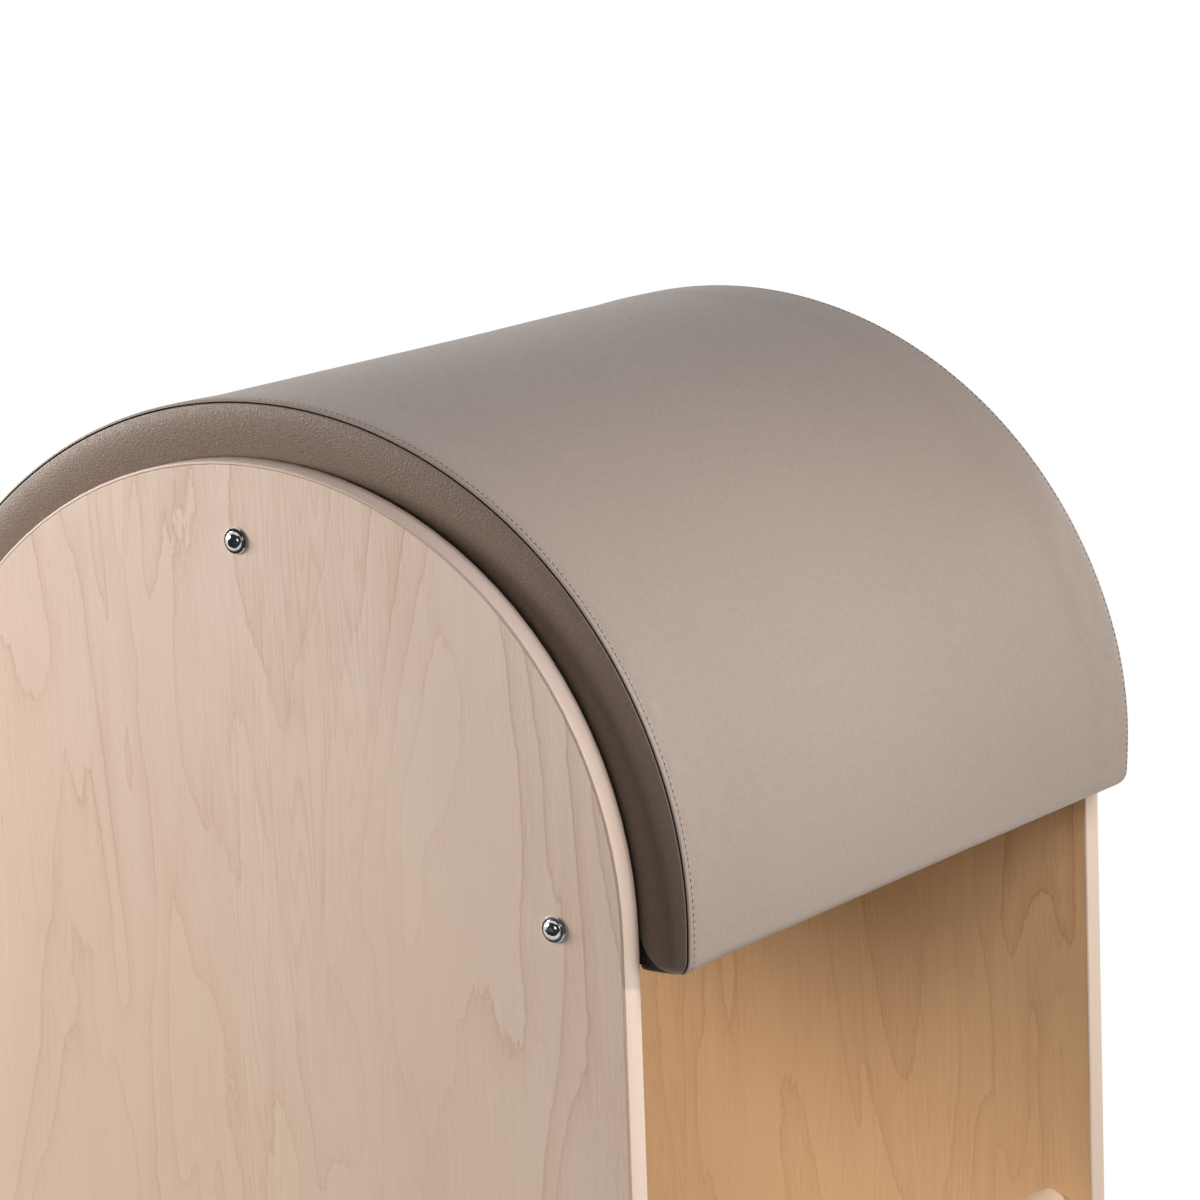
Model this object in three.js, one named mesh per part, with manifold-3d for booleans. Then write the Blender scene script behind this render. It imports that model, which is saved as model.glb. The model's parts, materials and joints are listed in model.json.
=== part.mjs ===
// A pilates ladder barrel: a padded half barrel bolted between two tombstone side panels, and a leaning
// ladder whose slotted rails slide in under the barrel and are clamped there by two hand knobs.
// Millimetres, +Z up. X runs from the ladder to the barrel, Y runs along the barrel's axis.
// Places along X are counted from the barrel's axis; the last lines centre the whole on the origin.
import * as THREE from "three";
import { mergeVertices } from "three/addons/utils/BufferGeometryUtils.js";
import Module from "manifold-3d";

const wasm = await Module();
wasm.setup();

// Side panels, with their glued edge bands
const PANEL_THICKNESS = 19;
const PANEL_RADIUS = 300;
const ARCH_HEIGHT = 615;
const INNER_WIDTH = 630;
const BAND_THICKNESS = 2;
const BAND_ROUND = 1.2;

// Clearances and overruns
const FIT_GAP = 0.3;
const RUNNING_GAP = 0.5;
const BOLT_CLEARANCE = 0.4;
const THREAD_CLEARANCE = 0.2;
const OVERRUN = 5;

// Panel bolts, M8 button heads on plain washers
const BOLT_RADIUS = 4;
const BOLT_HEAD_RADIUS = 7;
const BOLT_HEAD_HEIGHT = 4.4;
const BOLT_RIM_HEIGHT = 0.8;
const BOLT_POINT_CHAMFER = 0.8;
const SOCKET_ACROSS_CORNERS = 5.8;
const SOCKET_DEPTH = 2.6;
const WASHER_RADIUS = 9.2;
const WASHER_THICKNESS = 1.6;
const WASHER_CHAMFER = 0.4;
const BOLT_END_GAP = 1.6;
const BOLT_TO_BATTEN = 9.5;
const SIDE_BOLT_RISE = 3;

// Barrel core, of plywood
const SHELL_INSET = 3;
const SHELL_THICKNESS = 9;
const SHELL_END_GAP = 4;
const FORMER_THICKNESS = 18;
const BATTEN_WIDTH = 41.5;
const BATTEN_HEIGHT = 19;
const RIB_RIM_WIDTH = 97;
const RIB_WINDOW_RISE = 35;
const DUST_COVER_THICKNESS = 1;
const DUST_COVER_CLEARANCE = 1.4;

// Barrel pad: foam under a sewn cover. Its lower edges are rolled by shares of its thickness.
const PAD_THICKNESS = 40;
const SEAM_RIDGE = 2.3;
const SEAM_RIDGE_WIDTH = 9;
const CROWN = 1;
const CROWN_SHOULDER = 40;
const PAD_END_GAP = 3.5;
const GUSSET_BULGE = 1.6;
const COVER_THICKNESS = 1.5;
const PAD_DROP = 23;
const OUTSIDE_ROLL_SHARE = 0.3;
const INSIDE_ROLL_SHARE = 0.525;
const END_ROLL_SHARE = 0.2;

// Cross dowels between the side panels
const STRETCHER_RADIUS = 16;
const STRETCHER_INSET = 38;
const STRETCHER_CLEARANCE = 91.5;
const STRETCHER_SOCKET = 10;

// Rubber feet under the panels and under the rails
const FOOT_HEIGHT = 8;
const FOOT_LENGTH = 60;
const FOOT_INSET = 20;
const FOOT_CHAMFER = 1.5;

// Slotted ladder rails and the cleats that guide them inside the panels
const RAIL_THICKNESS = 28;
const RAIL_HEIGHT = 90;
const RAIL_BOTTOM = 30;
const RAIL_LENGTH = 990;
const RAIL_OVERHANG = 214;
const RAIL_CORNER = 30;
const RAIL_FOOT_LENGTH = 120;
const RAIL_EASING = 3;
const CLEAT_DEPTH = 20;
const CLEAT_HEIGHT = 20;
const CLEAT_INSET = 30;
const SLIDE_TRAVEL = 150;

// Ladder
const LADDER_FOOT_DISTANCE = 646;
const LADDER_LEAN_DEG = 12;
const LADDER_TOP = 930;
const UPRIGHT_WIDTH = 80;
const RUNG_RADIUS = 17;
const RUNG_COUNT = 5;
const RUNG_TOP_MARGIN = 45;
const LOWEST_RUNG_RISE = 85;
const RUNG_SOCKET = 12;
const END_BOARD_THICKNESS = 20;
const END_BOARD_MARGIN = 7;
const END_BOARD_INSET = 22;
const TIE_RADIUS = 14;
const TIE_INSET = 40;
const TIE_SOCKET = 10;
const LAP_BOLT_SPACING = 44;
const LAP_FLANGE_RADIUS = 10;
const LAP_FLANGE_THICKNESS = 1.6;
const LAP_BOLT_END_GAP = 3;

// Hand knobs that clamp the rails
const KNOB_DISTANCE = 200;
const KNOB_RADIUS = 25;
const KNOB_LOBE_DEPTH = 4;
const KNOB_LOBES = 5;
const KNOB_GRIP_HEIGHT = 16;
const KNOB_ROUND = 4;
const KNOB_BOSS_RADIUS = 13;
const KNOB_BOSS_HEIGHT = 9;
const KNOB_CROWN_HEIGHT = 3;
const CLAMP_WASHER_RADIUS = 16;
const CLAMP_WASHER_THICKNESS = 3;
const NUT_LENGTH = 30;
const NUT_HEIGHT = 16;
const NUT_THICKNESS = 8;

// Facets
const ARCH_STEPS = 48;
const PAD_STEPS = 32;
const ROUND_STEPS = 20;
const BOLT_STEPS = 16;
const ROLL_STEPS = 4;
const CORNER_STEPS = 2;
const FILLET_STEPS = 6;
const DOME_STEPS = 4;
const LOBE_STEPS = 10;
const GUSSET_STEPS = 3;

const MAPLE_FACE = { color: 0xdcc3ae, roughness: 0.45, metalness: 0 };
const MAPLE_BAND = { color: 0xe8d8c6, roughness: 0.4, metalness: 0 };
const MAPLE_SOLID = { color: 0xd9b995, roughness: 0.45, metalness: 0 };
const PLYWOOD = { color: 0xc9a878, roughness: 0.75, metalness: 0 };
const VINYL = { color: 0xa09384, roughness: 0.55, metalness: 0 };
const FOAM = { color: 0xe4dfcf, roughness: 0.95, metalness: 0 };
const BLACK_CLOTH = { color: 0x16130f, roughness: 0.95, metalness: 0 };
const CHROME = { color: 0xd8dadc, roughness: 0.12, metalness: 1 };
const STEEL = { color: 0x9fa2a5, roughness: 0.35, metalness: 1 };
const BLACK_PLASTIC = { color: 0x1c1c1d, roughness: 0.5, metalness: 0 };
const RUBBER = { color: 0x262626, roughness: 0.85, metalness: 0 };

// The barrel's radii
const shellRadius = PANEL_RADIUS - SHELL_INSET;
const seamRadius = shellRadius + PAD_THICKNESS;
const battenInside = shellRadius - BATTEN_WIDTH;
const panelBoltCircle = battenInside - BOLT_TO_BATTEN;
const outsideRoll = PAD_THICKNESS * OUTSIDE_ROLL_SHARE;
const insideRoll = PAD_THICKNESS * INSIDE_ROLL_SHARE;
const endRoll = PAD_THICKNESS * END_ROLL_SHARE;

// Planes across the part
const insideFace = INNER_WIDTH / 2;
const outsideFace = insideFace + PANEL_THICKNESS;
const railOutside = insideFace - RUNNING_GAP;
const railInside = railOutside - RAIL_THICKNESS;
const railMiddle = (railOutside + railInside) / 2;

// Heights
const coreBottom = ARCH_HEIGHT - BATTEN_HEIGHT;
const padBottom = ARCH_HEIGHT - PAD_DROP;
const railTop = RAIL_BOTTOM + RAIL_HEIGHT;
const railAxis = (RAIL_BOTTOM + railTop) / 2;
const lowerCleatTop = RAIL_BOTTOM - RUNNING_GAP;
const upperCleatTop = railTop + RUNNING_GAP + CLEAT_HEIGHT;
const stretcherAxis = upperCleatTop + STRETCHER_CLEARANCE + STRETCHER_RADIUS;
const ladderTopCentre = LADDER_TOP - UPRIGHT_WIDTH / 2;
const lowestRung = railTop + LOWEST_RUNG_RISE;
const rungPitch = (LADDER_TOP - RUNG_TOP_MARGIN - lowestRung) / (RUNG_COUNT - 1);
const lean = THREE.MathUtils.degToRad(LADDER_LEAN_DEG);

// Places along the part
const railEnd = -LADDER_FOOT_DISTANCE - RAIL_OVERHANG;
const railTip = railEnd + RAIL_LENGTH;
const knobX = -KNOB_DISTANCE;
const stretcherX = PANEL_RADIUS - STRETCHER_INSET;

const SIDES = [
  { name: "right", sign: -1 },
  { name: "left", sign: 1 },
];
const ENDS = [
  { name: "front", sign: -1 },
  { name: "rear", sign: 1 },
];

const group = new THREE.Group();

function addPiece(name, geometry, look) {
  const mesh = new THREE.Mesh(geometry, new THREE.MeshStandardMaterial(look));
  mesh.name = name;
  group.add(mesh);
}

// A closed geometry as a solid that can be joined and cut
function solidOf(geometry) {
  const bare = new THREE.BufferGeometry();
  bare.setAttribute("position", geometry.getAttribute("position"));
  bare.setIndex(geometry.getIndex());
  const merged = mergeVertices(bare);
  return new wasm.Manifold(
    new wasm.Mesh({
      numProp: 3,
      vertProperties: merged.getAttribute("position").array,
      triVerts: new Uint32Array(merged.getIndex().array),
    }),
  );
}

function geometryOf(solid) {
  const mesh = solid.getMesh();
  const geometry = new THREE.BufferGeometry();
  geometry.setAttribute("position", new THREE.BufferAttribute(mesh.vertProperties, 3));
  geometry.setIndex(new THREE.BufferAttribute(mesh.triVerts, 1));
  geometry.computeVertexNormals();
  return geometry;
}

function cut(body, ...tools) {
  return geometryOf(tools.reduce((rest, tool) => rest.subtract(solidOf(tool)), solidOf(body)));
}

function join(first, ...others) {
  return geometryOf(others.reduce((sum, other) => sum.add(solidOf(other)), solidOf(first)));
}

// Points of an arc in the plane of a plate, from angle a to angle b
function arc(x, z, radius, a, b, steps) {
  const points = [];
  for (let i = 0; i <= steps; i++) {
    const angle = a + ((b - a) * i) / steps;
    points.push(new THREE.Vector2(x + radius * Math.cos(angle), z + radius * Math.sin(angle)));
  }
  return points;
}

function roundHole(x, z, radius, steps) {
  return new THREE.Path(arc(x, z, radius, 0, 2 * Math.PI, steps).slice(0, -1));
}

// A slot with round ends, from x0 to x1 between the centres of its ends
function slotPoints(x0, x1, z, radius) {
  return [
    ...arc(x0, z, radius, Math.PI / 2, (3 * Math.PI) / 2, BOLT_STEPS / 2),
    ...arc(x1, z, radius, -Math.PI / 2, Math.PI / 2, BOLT_STEPS / 2),
  ];
}

// A plate whose outline lies in the XZ plane, from y0 to y1
function plate(points, holes, y0, y1) {
  const shape = new THREE.Shape(points);
  shape.holes = holes;
  const low = Math.min(y0, y1);
  const high = Math.max(y0, y1);
  const geometry = new THREE.ExtrudeGeometry(shape, { depth: high - low, bevelEnabled: false });
  return geometry.rotateX(Math.PI / 2).translate(0, high, 0);
}

// A block between two corners
function block(x0, x1, y0, y1, z0, z1) {
  const geometry = new THREE.BoxGeometry(Math.abs(x1 - x0), Math.abs(y1 - y0), Math.abs(z1 - z0));
  return geometry.translate((x0 + x1) / 2, (y0 + y1) / 2, (z0 + z1) / 2);
}

// A straight bar along Y or X with eased long edges
function easedBar(width, height, length, easing) {
  const w = width / 2;
  const h = height / 2;
  const outline = [
    [w - easing, -h],
    [w, easing - h],
    [w, h - easing],
    [w - easing, h],
    [easing - w, h],
    [-w, h - easing],
    [-w, easing - h],
    [easing - w, -h],
  ].map(([x, z]) => new THREE.Vector2(x, z));
  return plate(outline, [], -length / 2, length / 2);
}

// A dowel along Y
function dowel(radius, length) {
  return new THREE.CylinderGeometry(radius, radius, length, ROUND_STEPS);
}

// A closed skin over rings of equal count; the two end rings are closed by their own outline
function loft(rings, endOutline) {
  const count = rings[0].length;
  const positions = rings.flat(2);
  const index = [];
  for (let ring = 0; ring + 1 < rings.length; ring++) {
    for (let i = 0; i < count; i++) {
      const a = ring * count + i;
      const b = ring * count + ((i + 1) % count);
      index.push(a, b, b + count, a, b + count, a + count);
    }
  }
  const last = (rings.length - 1) * count;
  const clockwise = THREE.ShapeUtils.isClockWise(endOutline);
  for (const triangle of THREE.ShapeUtils.triangulateShape(endOutline, [])) {
    const [a, b, c] = clockwise ? triangle.reverse() : triangle;
    index.push(c, b, a, last + a, last + b, last + c);
  }
  const geometry = new THREE.BufferGeometry();
  geometry.setAttribute("position", new THREE.Float32BufferAttribute(positions, 3));
  geometry.setIndex(index);
  return geometry;
}

// Stations along the arch from the rear foot over the top to the front: a centre and a direction outwards
function archStations(bottoms, steps) {
  const straight = bottoms.map((z) => ({ z, out: [1, 0] }));
  const round = arc(0, 0, 1, 0, Math.PI, steps).map((p) => ({ z: ARCH_HEIGHT, out: [p.x, p.y] }));
  const down = [...bottoms].reverse().map((z) => ({ z, out: [-1, 0] }));
  return [...straight, ...round, ...down];
}

// A ring of [y, radius] points standing at a station
function ringAt(station, profile) {
  const [x, z] = station.out;
  return profile.map(([y, radius]) => [x * radius, y, station.z + z * radius]);
}

// The panel's plywood core, with holes for its bolts and its knob and sockets for the cross dowels
function sidePanel(sign) {
  const radius = PANEL_RADIUS - BAND_THICKNESS - FIT_GAP;
  const outline = [
    new THREE.Vector2(radius, FOOT_HEIGHT),
    ...arc(0, ARCH_HEIGHT, radius, 0, Math.PI, ARCH_STEPS),
    new THREE.Vector2(-radius, FOOT_HEIGHT),
  ];
  const boltHole = BOLT_RADIUS + BOLT_CLEARANCE;
  const holes = boltPlaces().map(({ x, z }) => roundHole(x, z, boltHole, BOLT_STEPS));
  holes.push(roundHole(knobX, railAxis, boltHole, BOLT_STEPS));
  const sockets = ENDS.map((end) => {
    const socket = dowel(STRETCHER_RADIUS + FIT_GAP, 2 * STRETCHER_SOCKET);
    return socket.translate(end.sign * stretcherX, sign * insideFace, stretcherAxis);
  });
  return cut(plate(outline, holes, sign * insideFace, sign * outsideFace), ...sockets);
}

// The three bolts that hold the barrel to each panel
function boltPlaces() {
  return [
    { name: "top", x: 0, z: ARCH_HEIGHT + panelBoltCircle },
    { name: "front", x: -panelBoltCircle, z: ARCH_HEIGHT + SIDE_BOLT_RISE },
    { name: "rear", x: panelBoltCircle, z: ARCH_HEIGHT + SIDE_BOLT_RISE },
  ];
}

// The strip glued round the panel's edge, with its outer corners rounded over
function edgeBand(sign) {
  const inner = PANEL_RADIUS - BAND_THICKNESS;
  const core = PANEL_RADIUS - BAND_ROUND;
  const middle = (insideFace + outsideFace) / 2;
  const reach = PANEL_THICKNESS / 2 - BAND_ROUND;
  const profile = [
    new THREE.Vector2(PANEL_THICKNESS / 2, inner),
    ...arc(reach, core, BAND_ROUND, 0, Math.PI / 2, CORNER_STEPS),
    ...arc(-reach, core, BAND_ROUND, Math.PI / 2, Math.PI, CORNER_STEPS),
    new THREE.Vector2(-PANEL_THICKNESS / 2, inner),
  ].reverse();
  const rings = archStations([FOOT_HEIGHT], ARCH_STEPS).map((station) =>
    ringAt(
      station,
      profile.map((p) => [sign * middle + p.x, p.y]),
    ),
  );
  return loft(rings, profile);
}

// A button-head bolt along Y, its head's seat at y = 0 and its head towards +Y, with a hex socket
function buttonBolt(length, flangeRadius, flangeThickness) {
  const dome = BOLT_HEAD_HEIGHT - BOLT_RIM_HEIGHT;
  const points = [
    [0, -length],
    [BOLT_RADIUS - BOLT_POINT_CHAMFER, -length],
    [BOLT_RADIUS, BOLT_POINT_CHAMFER - length],
    [BOLT_RADIUS, 0],
  ];
  if (flangeRadius > 0) {
    points.push([flangeRadius, 0], [flangeRadius, flangeThickness], [BOLT_HEAD_RADIUS, flangeThickness]);
  } else {
    points.push([BOLT_HEAD_RADIUS, 0]);
  }
  for (let i = 0; i < DOME_STEPS; i++) {
    const angle = (Math.PI / 2) * (i / DOME_STEPS);
    const height = flangeThickness + BOLT_RIM_HEIGHT + dome * Math.sin(angle);
    points.push([BOLT_HEAD_RADIUS * Math.cos(angle), height]);
  }
  const top = flangeThickness + BOLT_HEAD_HEIGHT;
  points.push([0, top]);
  const profile = points.map(([r, y]) => new THREE.Vector2(r, y));
  const socketRadius = SOCKET_ACROSS_CORNERS / 2;
  const socket = new THREE.CylinderGeometry(socketRadius, socketRadius, 2 * SOCKET_DEPTH, 6);
  return cut(new THREE.LatheGeometry(profile, BOLT_STEPS), socket.translate(0, top, 0));
}

// A flat washer round the Y axis, its back at y = 0
function washer(radius, thickness, hole, steps) {
  const points = [
    [hole, 0],
    [radius, 0],
    [radius, thickness - WASHER_CHAMFER],
    [radius - WASHER_CHAMFER, thickness],
    [hole, thickness],
    [hole, 0],
  ];
  const profile = points.map(([r, y]) => new THREE.Vector2(r, y));
  return new THREE.LatheGeometry(profile, steps);
}

// Turns a piece that faces +Y to face the part's outside on this side, and stands it at a place
function facing(geometry, sign, x, y, z) {
  if (sign < 0) geometry.rotateX(Math.PI);
  return geometry.translate(x, sign * y, z);
}

// The half-disc end of the barrel core, with a tab down between the battens
function formerOutline() {
  const radius = shellRadius - SHELL_THICKNESS - FIT_GAP;
  const tab = battenInside - FIT_GAP;
  return [
    new THREE.Vector2(tab, coreBottom),
    new THREE.Vector2(tab, ARCH_HEIGHT),
    ...arc(0, ARCH_HEIGHT, radius, 0, Math.PI, PAD_STEPS),
    new THREE.Vector2(-tab, ARCH_HEIGHT),
    new THREE.Vector2(-tab, coreBottom),
  ];
}

function former(sign) {
  const boltHole = BOLT_RADIUS + BOLT_CLEARANCE;
  const holes = boltPlaces().map(({ x, z }) => roundHole(x, z, boltHole, BOLT_STEPS));
  return plate(formerOutline(), holes, sign * insideFace, sign * (insideFace - FORMER_THICKNESS));
}

// The middle rib, with a half-round window
function middleRib() {
  const window = [
    ...arc(0, ARCH_HEIGHT + RIB_WINDOW_RISE, shellRadius - RIB_RIM_WIDTH, 0, Math.PI, ROUND_STEPS),
  ];
  const holes = [new THREE.Path(window)];
  return plate(formerOutline(), holes, -FORMER_THICKNESS / 2, FORMER_THICKNESS / 2);
}

// The bent plywood that carries the foam
function barrelShell() {
  const outline = [
    ...arc(0, ARCH_HEIGHT, shellRadius, 0, Math.PI, PAD_STEPS),
    ...arc(0, ARCH_HEIGHT, shellRadius - SHELL_THICKNESS, Math.PI, 0, PAD_STEPS),
  ];
  const reach = insideFace - SHELL_END_GAP;
  return plate(outline, [], -reach, reach);
}

function batten(sign) {
  const reach = insideFace - SHELL_END_GAP;
  return block(sign * battenInside, sign * shellRadius, -reach, reach, coreBottom, ARCH_HEIGHT);
}

// The cloth under the core, which laps into the hollow of the pad's rolled inner edge
function dustCover() {
  const top = coreBottom - FIT_GAP;
  const hollow = rollIn(top - padBottom, insideRoll);
  const reachX = shellRadius + FIT_GAP + hollow - DUST_COVER_CLEARANCE;
  const reachY = insideFace - SHELL_END_GAP;
  return block(-reachX, reachX, -reachY, reachY, top - DUST_COVER_THICKNESS, top);
}

// How far a rounded edge of this radius is drawn in at a height above its lowest point
function rollIn(height, radius) {
  if (height >= radius) return 0;
  const down = (radius - height) / radius;
  return radius * (1 - Math.sqrt(Math.max(0, 1 - down * down)));
}

// The pad's section across its length as [y, radius]: bulging gussets, raised seams and a crowned top
function padProfile(inset, innerRadius, endDraw, edgeDraw) {
  const end = insideFace - PAD_END_GAP - inset - endDraw;
  const seam = seamRadius - inset - edgeDraw;
  const half = [];
  for (let i = 0; i < GUSSET_STEPS; i++) {
    const share = i / GUSSET_STEPS;
    const bulge = GUSSET_BULGE * Math.sin(Math.PI * share);
    half.push([end + bulge, innerRadius + (seam - innerRadius) * share]);
  }
  half.push([end, seam]);
  half.push([end - SEAM_RIDGE_WIDTH / 9, seam + SEAM_RIDGE / 2]);
  half.push([end - SEAM_RIDGE_WIDTH / 2, seam + SEAM_RIDGE]);
  half.push([end - CROWN_SHOULDER, seam + CROWN / 2]);
  const mirrored = half.map(([y, r]) => [-y, r]).reverse();
  return [...half, [0, seam + CROWN], ...mirrored].reverse();
}

// The pad's body at an inset from its outside. Above the battens it starts at innerRadius, and below
// them it rolls under to a rounded edge.
function padBody(inset, innerRadius) {
  const bottom = padBottom + inset;
  const outside = outsideRoll - inset;
  const inside = insideRoll - inset;
  const drop = ARCH_HEIGHT - bottom;
  const heights = [];
  for (let i = 0; i < ROLL_STEPS; i++) {
    heights.push(drop * (1 - Math.cos((Math.PI / 2) * (i / ROLL_STEPS))));
  }
  const profileAt = (height) => {
    const under = shellRadius + FIT_GAP + inset + rollIn(height, inside);
    const inner = height < drop ? Math.max(innerRadius, under) : innerRadius;
    return padProfile(inset, inner, rollIn(height, endRoll), rollIn(height, outside));
  };
  const stations = archStations(
    heights.map((height) => bottom + height),
    PAD_STEPS,
  );
  const rings = stations.map((station) => ringAt(station, profileAt(station.z - bottom)));
  const endOutline = profileAt(0).map(([y, r]) => new THREE.Vector2(y, r));
  return loft(rings, endOutline);
}

function barrelFoam() {
  return padBody(COVER_THICKNESS + FIT_GAP, shellRadius + FIT_GAP);
}

function barrelCover() {
  const hollow = padBody(COVER_THICKNESS, shellRadius - OVERRUN);
  return cut(padBody(0, shellRadius + FIT_GAP), hollow);
}

function stretcher(sign) {
  const length = 2 * (insideFace + STRETCHER_SOCKET - FIT_GAP);
  return dowel(STRETCHER_RADIUS, length).translate(sign * stretcherX, 0, stretcherAxis);
}

// A rubber foot with round ends and a chamfered tread
function rubberFoot(length, width, x, y) {
  const radius = width / 2;
  const reach = length / 2 - radius;
  const outline = (inset) => slotPoints(-reach, reach, 0, radius - inset);
  const tread = outline(FOOT_CHAMFER).map((p) => [p.x, p.y, 0]);
  const edge = outline(0).map((p) => [p.x, p.y, FOOT_CHAMFER]);
  const top = outline(0).map((p) => [p.x, p.y, FOOT_HEIGHT]);
  return loft([tread, edge, top], outline(0)).translate(x, y, 0);
}

// A guide cleat on the panel's inside, below or above the rail
function cleat(sign, top) {
  const reach = PANEL_RADIUS - CLEAT_INSET;
  const inside = insideFace - CLEAT_DEPTH;
  return block(-reach, reach, sign * insideFace, sign * inside, top - CLEAT_HEIGHT, top);
}

// The middle of a ladder upright at a height
function ladderX(z) {
  return -LADDER_FOOT_DISTANCE - (z - RAIL_BOTTOM) * Math.tan(lean);
}

function uprightOutline(widening) {
  const half = UPRIGHT_WIDTH / 2 + widening;
  const level = half / Math.cos(lean);
  return [
    new THREE.Vector2(ladderX(RAIL_BOTTOM) + level, RAIL_BOTTOM),
    ...arc(ladderX(ladderTopCentre), ladderTopCentre, half, lean, lean + Math.PI, ROUND_STEPS / 2),
    new THREE.Vector2(ladderX(RAIL_BOTTOM) - level, RAIL_BOTTOM),
  ];
}

// The two bolts through each half-lap, along the upright
function lapBoltPlaces() {
  return [-1, 1].map((sign) => {
    const z = railAxis + (sign * LAP_BOLT_SPACING) / 2;
    return { x: ladderX(z), z };
  });
}

function rungPlaces() {
  const places = [];
  for (let i = 0; i < RUNG_COUNT; i++) {
    const z = lowestRung + i * rungPitch;
    places.push({ x: ladderX(z), z });
  }
  return places;
}

// A leaning upright, half-lapped over the rail's outside, with a socket for each rung
function upright(sign) {
  const boltHole = BOLT_RADIUS + BOLT_CLEARANCE;
  const holes = lapBoltPlaces().map(({ x, z }) => roundHole(x, z, boltHole, BOLT_STEPS));
  const body = plate(uprightOutline(0), holes, sign * railInside, sign * railOutside);
  const sockets = rungPlaces().map(({ x, z }) => {
    const socket = dowel(RUNG_RADIUS + FIT_GAP, 2 * RUNG_SOCKET);
    return socket.translate(x, sign * railInside, z);
  });
  const lapReach = UPRIGHT_WIDTH + RAIL_HEIGHT;
  const lap = block(
    -LADDER_FOOT_DISTANCE - lapReach,
    -LADDER_FOOT_DISTANCE + lapReach,
    sign * (railInside - OVERRUN),
    sign * (railMiddle + FIT_GAP / 2),
    RAIL_BOTTOM - OVERRUN,
    railTop + FIT_GAP,
  );
  return cut(body, lap, ...sockets);
}

// A rail on edge: a foot at its outer end, a long slot with a groove for the nut, the upright's half-lap,
// and a socket for the tie
function rail(sign) {
  const footInside = railEnd + RAIL_FOOT_LENGTH;
  const rise = RAIL_BOTTOM - FOOT_HEIGHT;
  const outline = [
    new THREE.Vector2(railEnd, FOOT_HEIGHT),
    new THREE.Vector2(footInside, FOOT_HEIGHT),
    ...arc(footInside + rise, FOOT_HEIGHT, rise, Math.PI, Math.PI / 2, FILLET_STEPS).slice(1),
    new THREE.Vector2(railTip, RAIL_BOTTOM),
    ...arc(railTip - RAIL_CORNER, railTop - RAIL_CORNER, RAIL_CORNER, 0, Math.PI / 2, FILLET_STEPS),
    ...arc(railEnd + RAIL_CORNER, railTop - RAIL_CORNER, RAIL_CORNER, Math.PI / 2, Math.PI, FILLET_STEPS),
  ];
  const slotRadius = BOLT_RADIUS + RUNNING_GAP;
  const boltHole = BOLT_RADIUS + BOLT_CLEARANCE;
  const holes = lapBoltPlaces().map(({ x, z }) => roundHole(x, z, boltHole, BOLT_STEPS));
  holes.push(new THREE.Path(slotPoints(knobX - SLIDE_TRAVEL, knobX, railAxis, slotRadius)));
  const body = plate(outline, holes, sign * railInside, sign * railOutside);
  const grooveEnd = NUT_LENGTH / 2 + RUNNING_GAP;
  const grooveHalf = NUT_HEIGHT / 2 + RUNNING_GAP;
  const groove = block(
    knobX - SLIDE_TRAVEL - grooveEnd,
    knobX + grooveEnd,
    sign * (railInside - OVERRUN),
    sign * (railInside + NUT_THICKNESS + RUNNING_GAP),
    railAxis - grooveHalf,
    railAxis + grooveHalf,
  );
  const lap = plate(
    uprightOutline(FIT_GAP),
    [],
    sign * (railMiddle - FIT_GAP / 2),
    sign * (railOutside + OVERRUN),
  );
  const socket = dowel(TIE_RADIUS + FIT_GAP, 2 * TIE_SOCKET);
  socket.translate(railTip - TIE_INSET, sign * railInside, railAxis);
  return cut(body, groove, lap, socket);
}

function rung(place) {
  const length = 2 * (railInside + RUNG_SOCKET - FIT_GAP);
  return dowel(RUNG_RADIUS, length).translate(place.x, 0, place.z);
}

function railTie() {
  const length = 2 * (railInside + TIE_SOCKET - FIT_GAP);
  return dowel(TIE_RADIUS, length).translate(railTip - TIE_INSET, 0, railAxis);
}

function endBoard() {
  const height = RAIL_HEIGHT - 2 * END_BOARD_MARGIN;
  const board = easedBar(END_BOARD_THICKNESS, height, 2 * railInside, RAIL_EASING);
  const x = railEnd + END_BOARD_INSET + END_BOARD_THICKNESS / 2;
  return board.translate(x, 0, railAxis);
}

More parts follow.
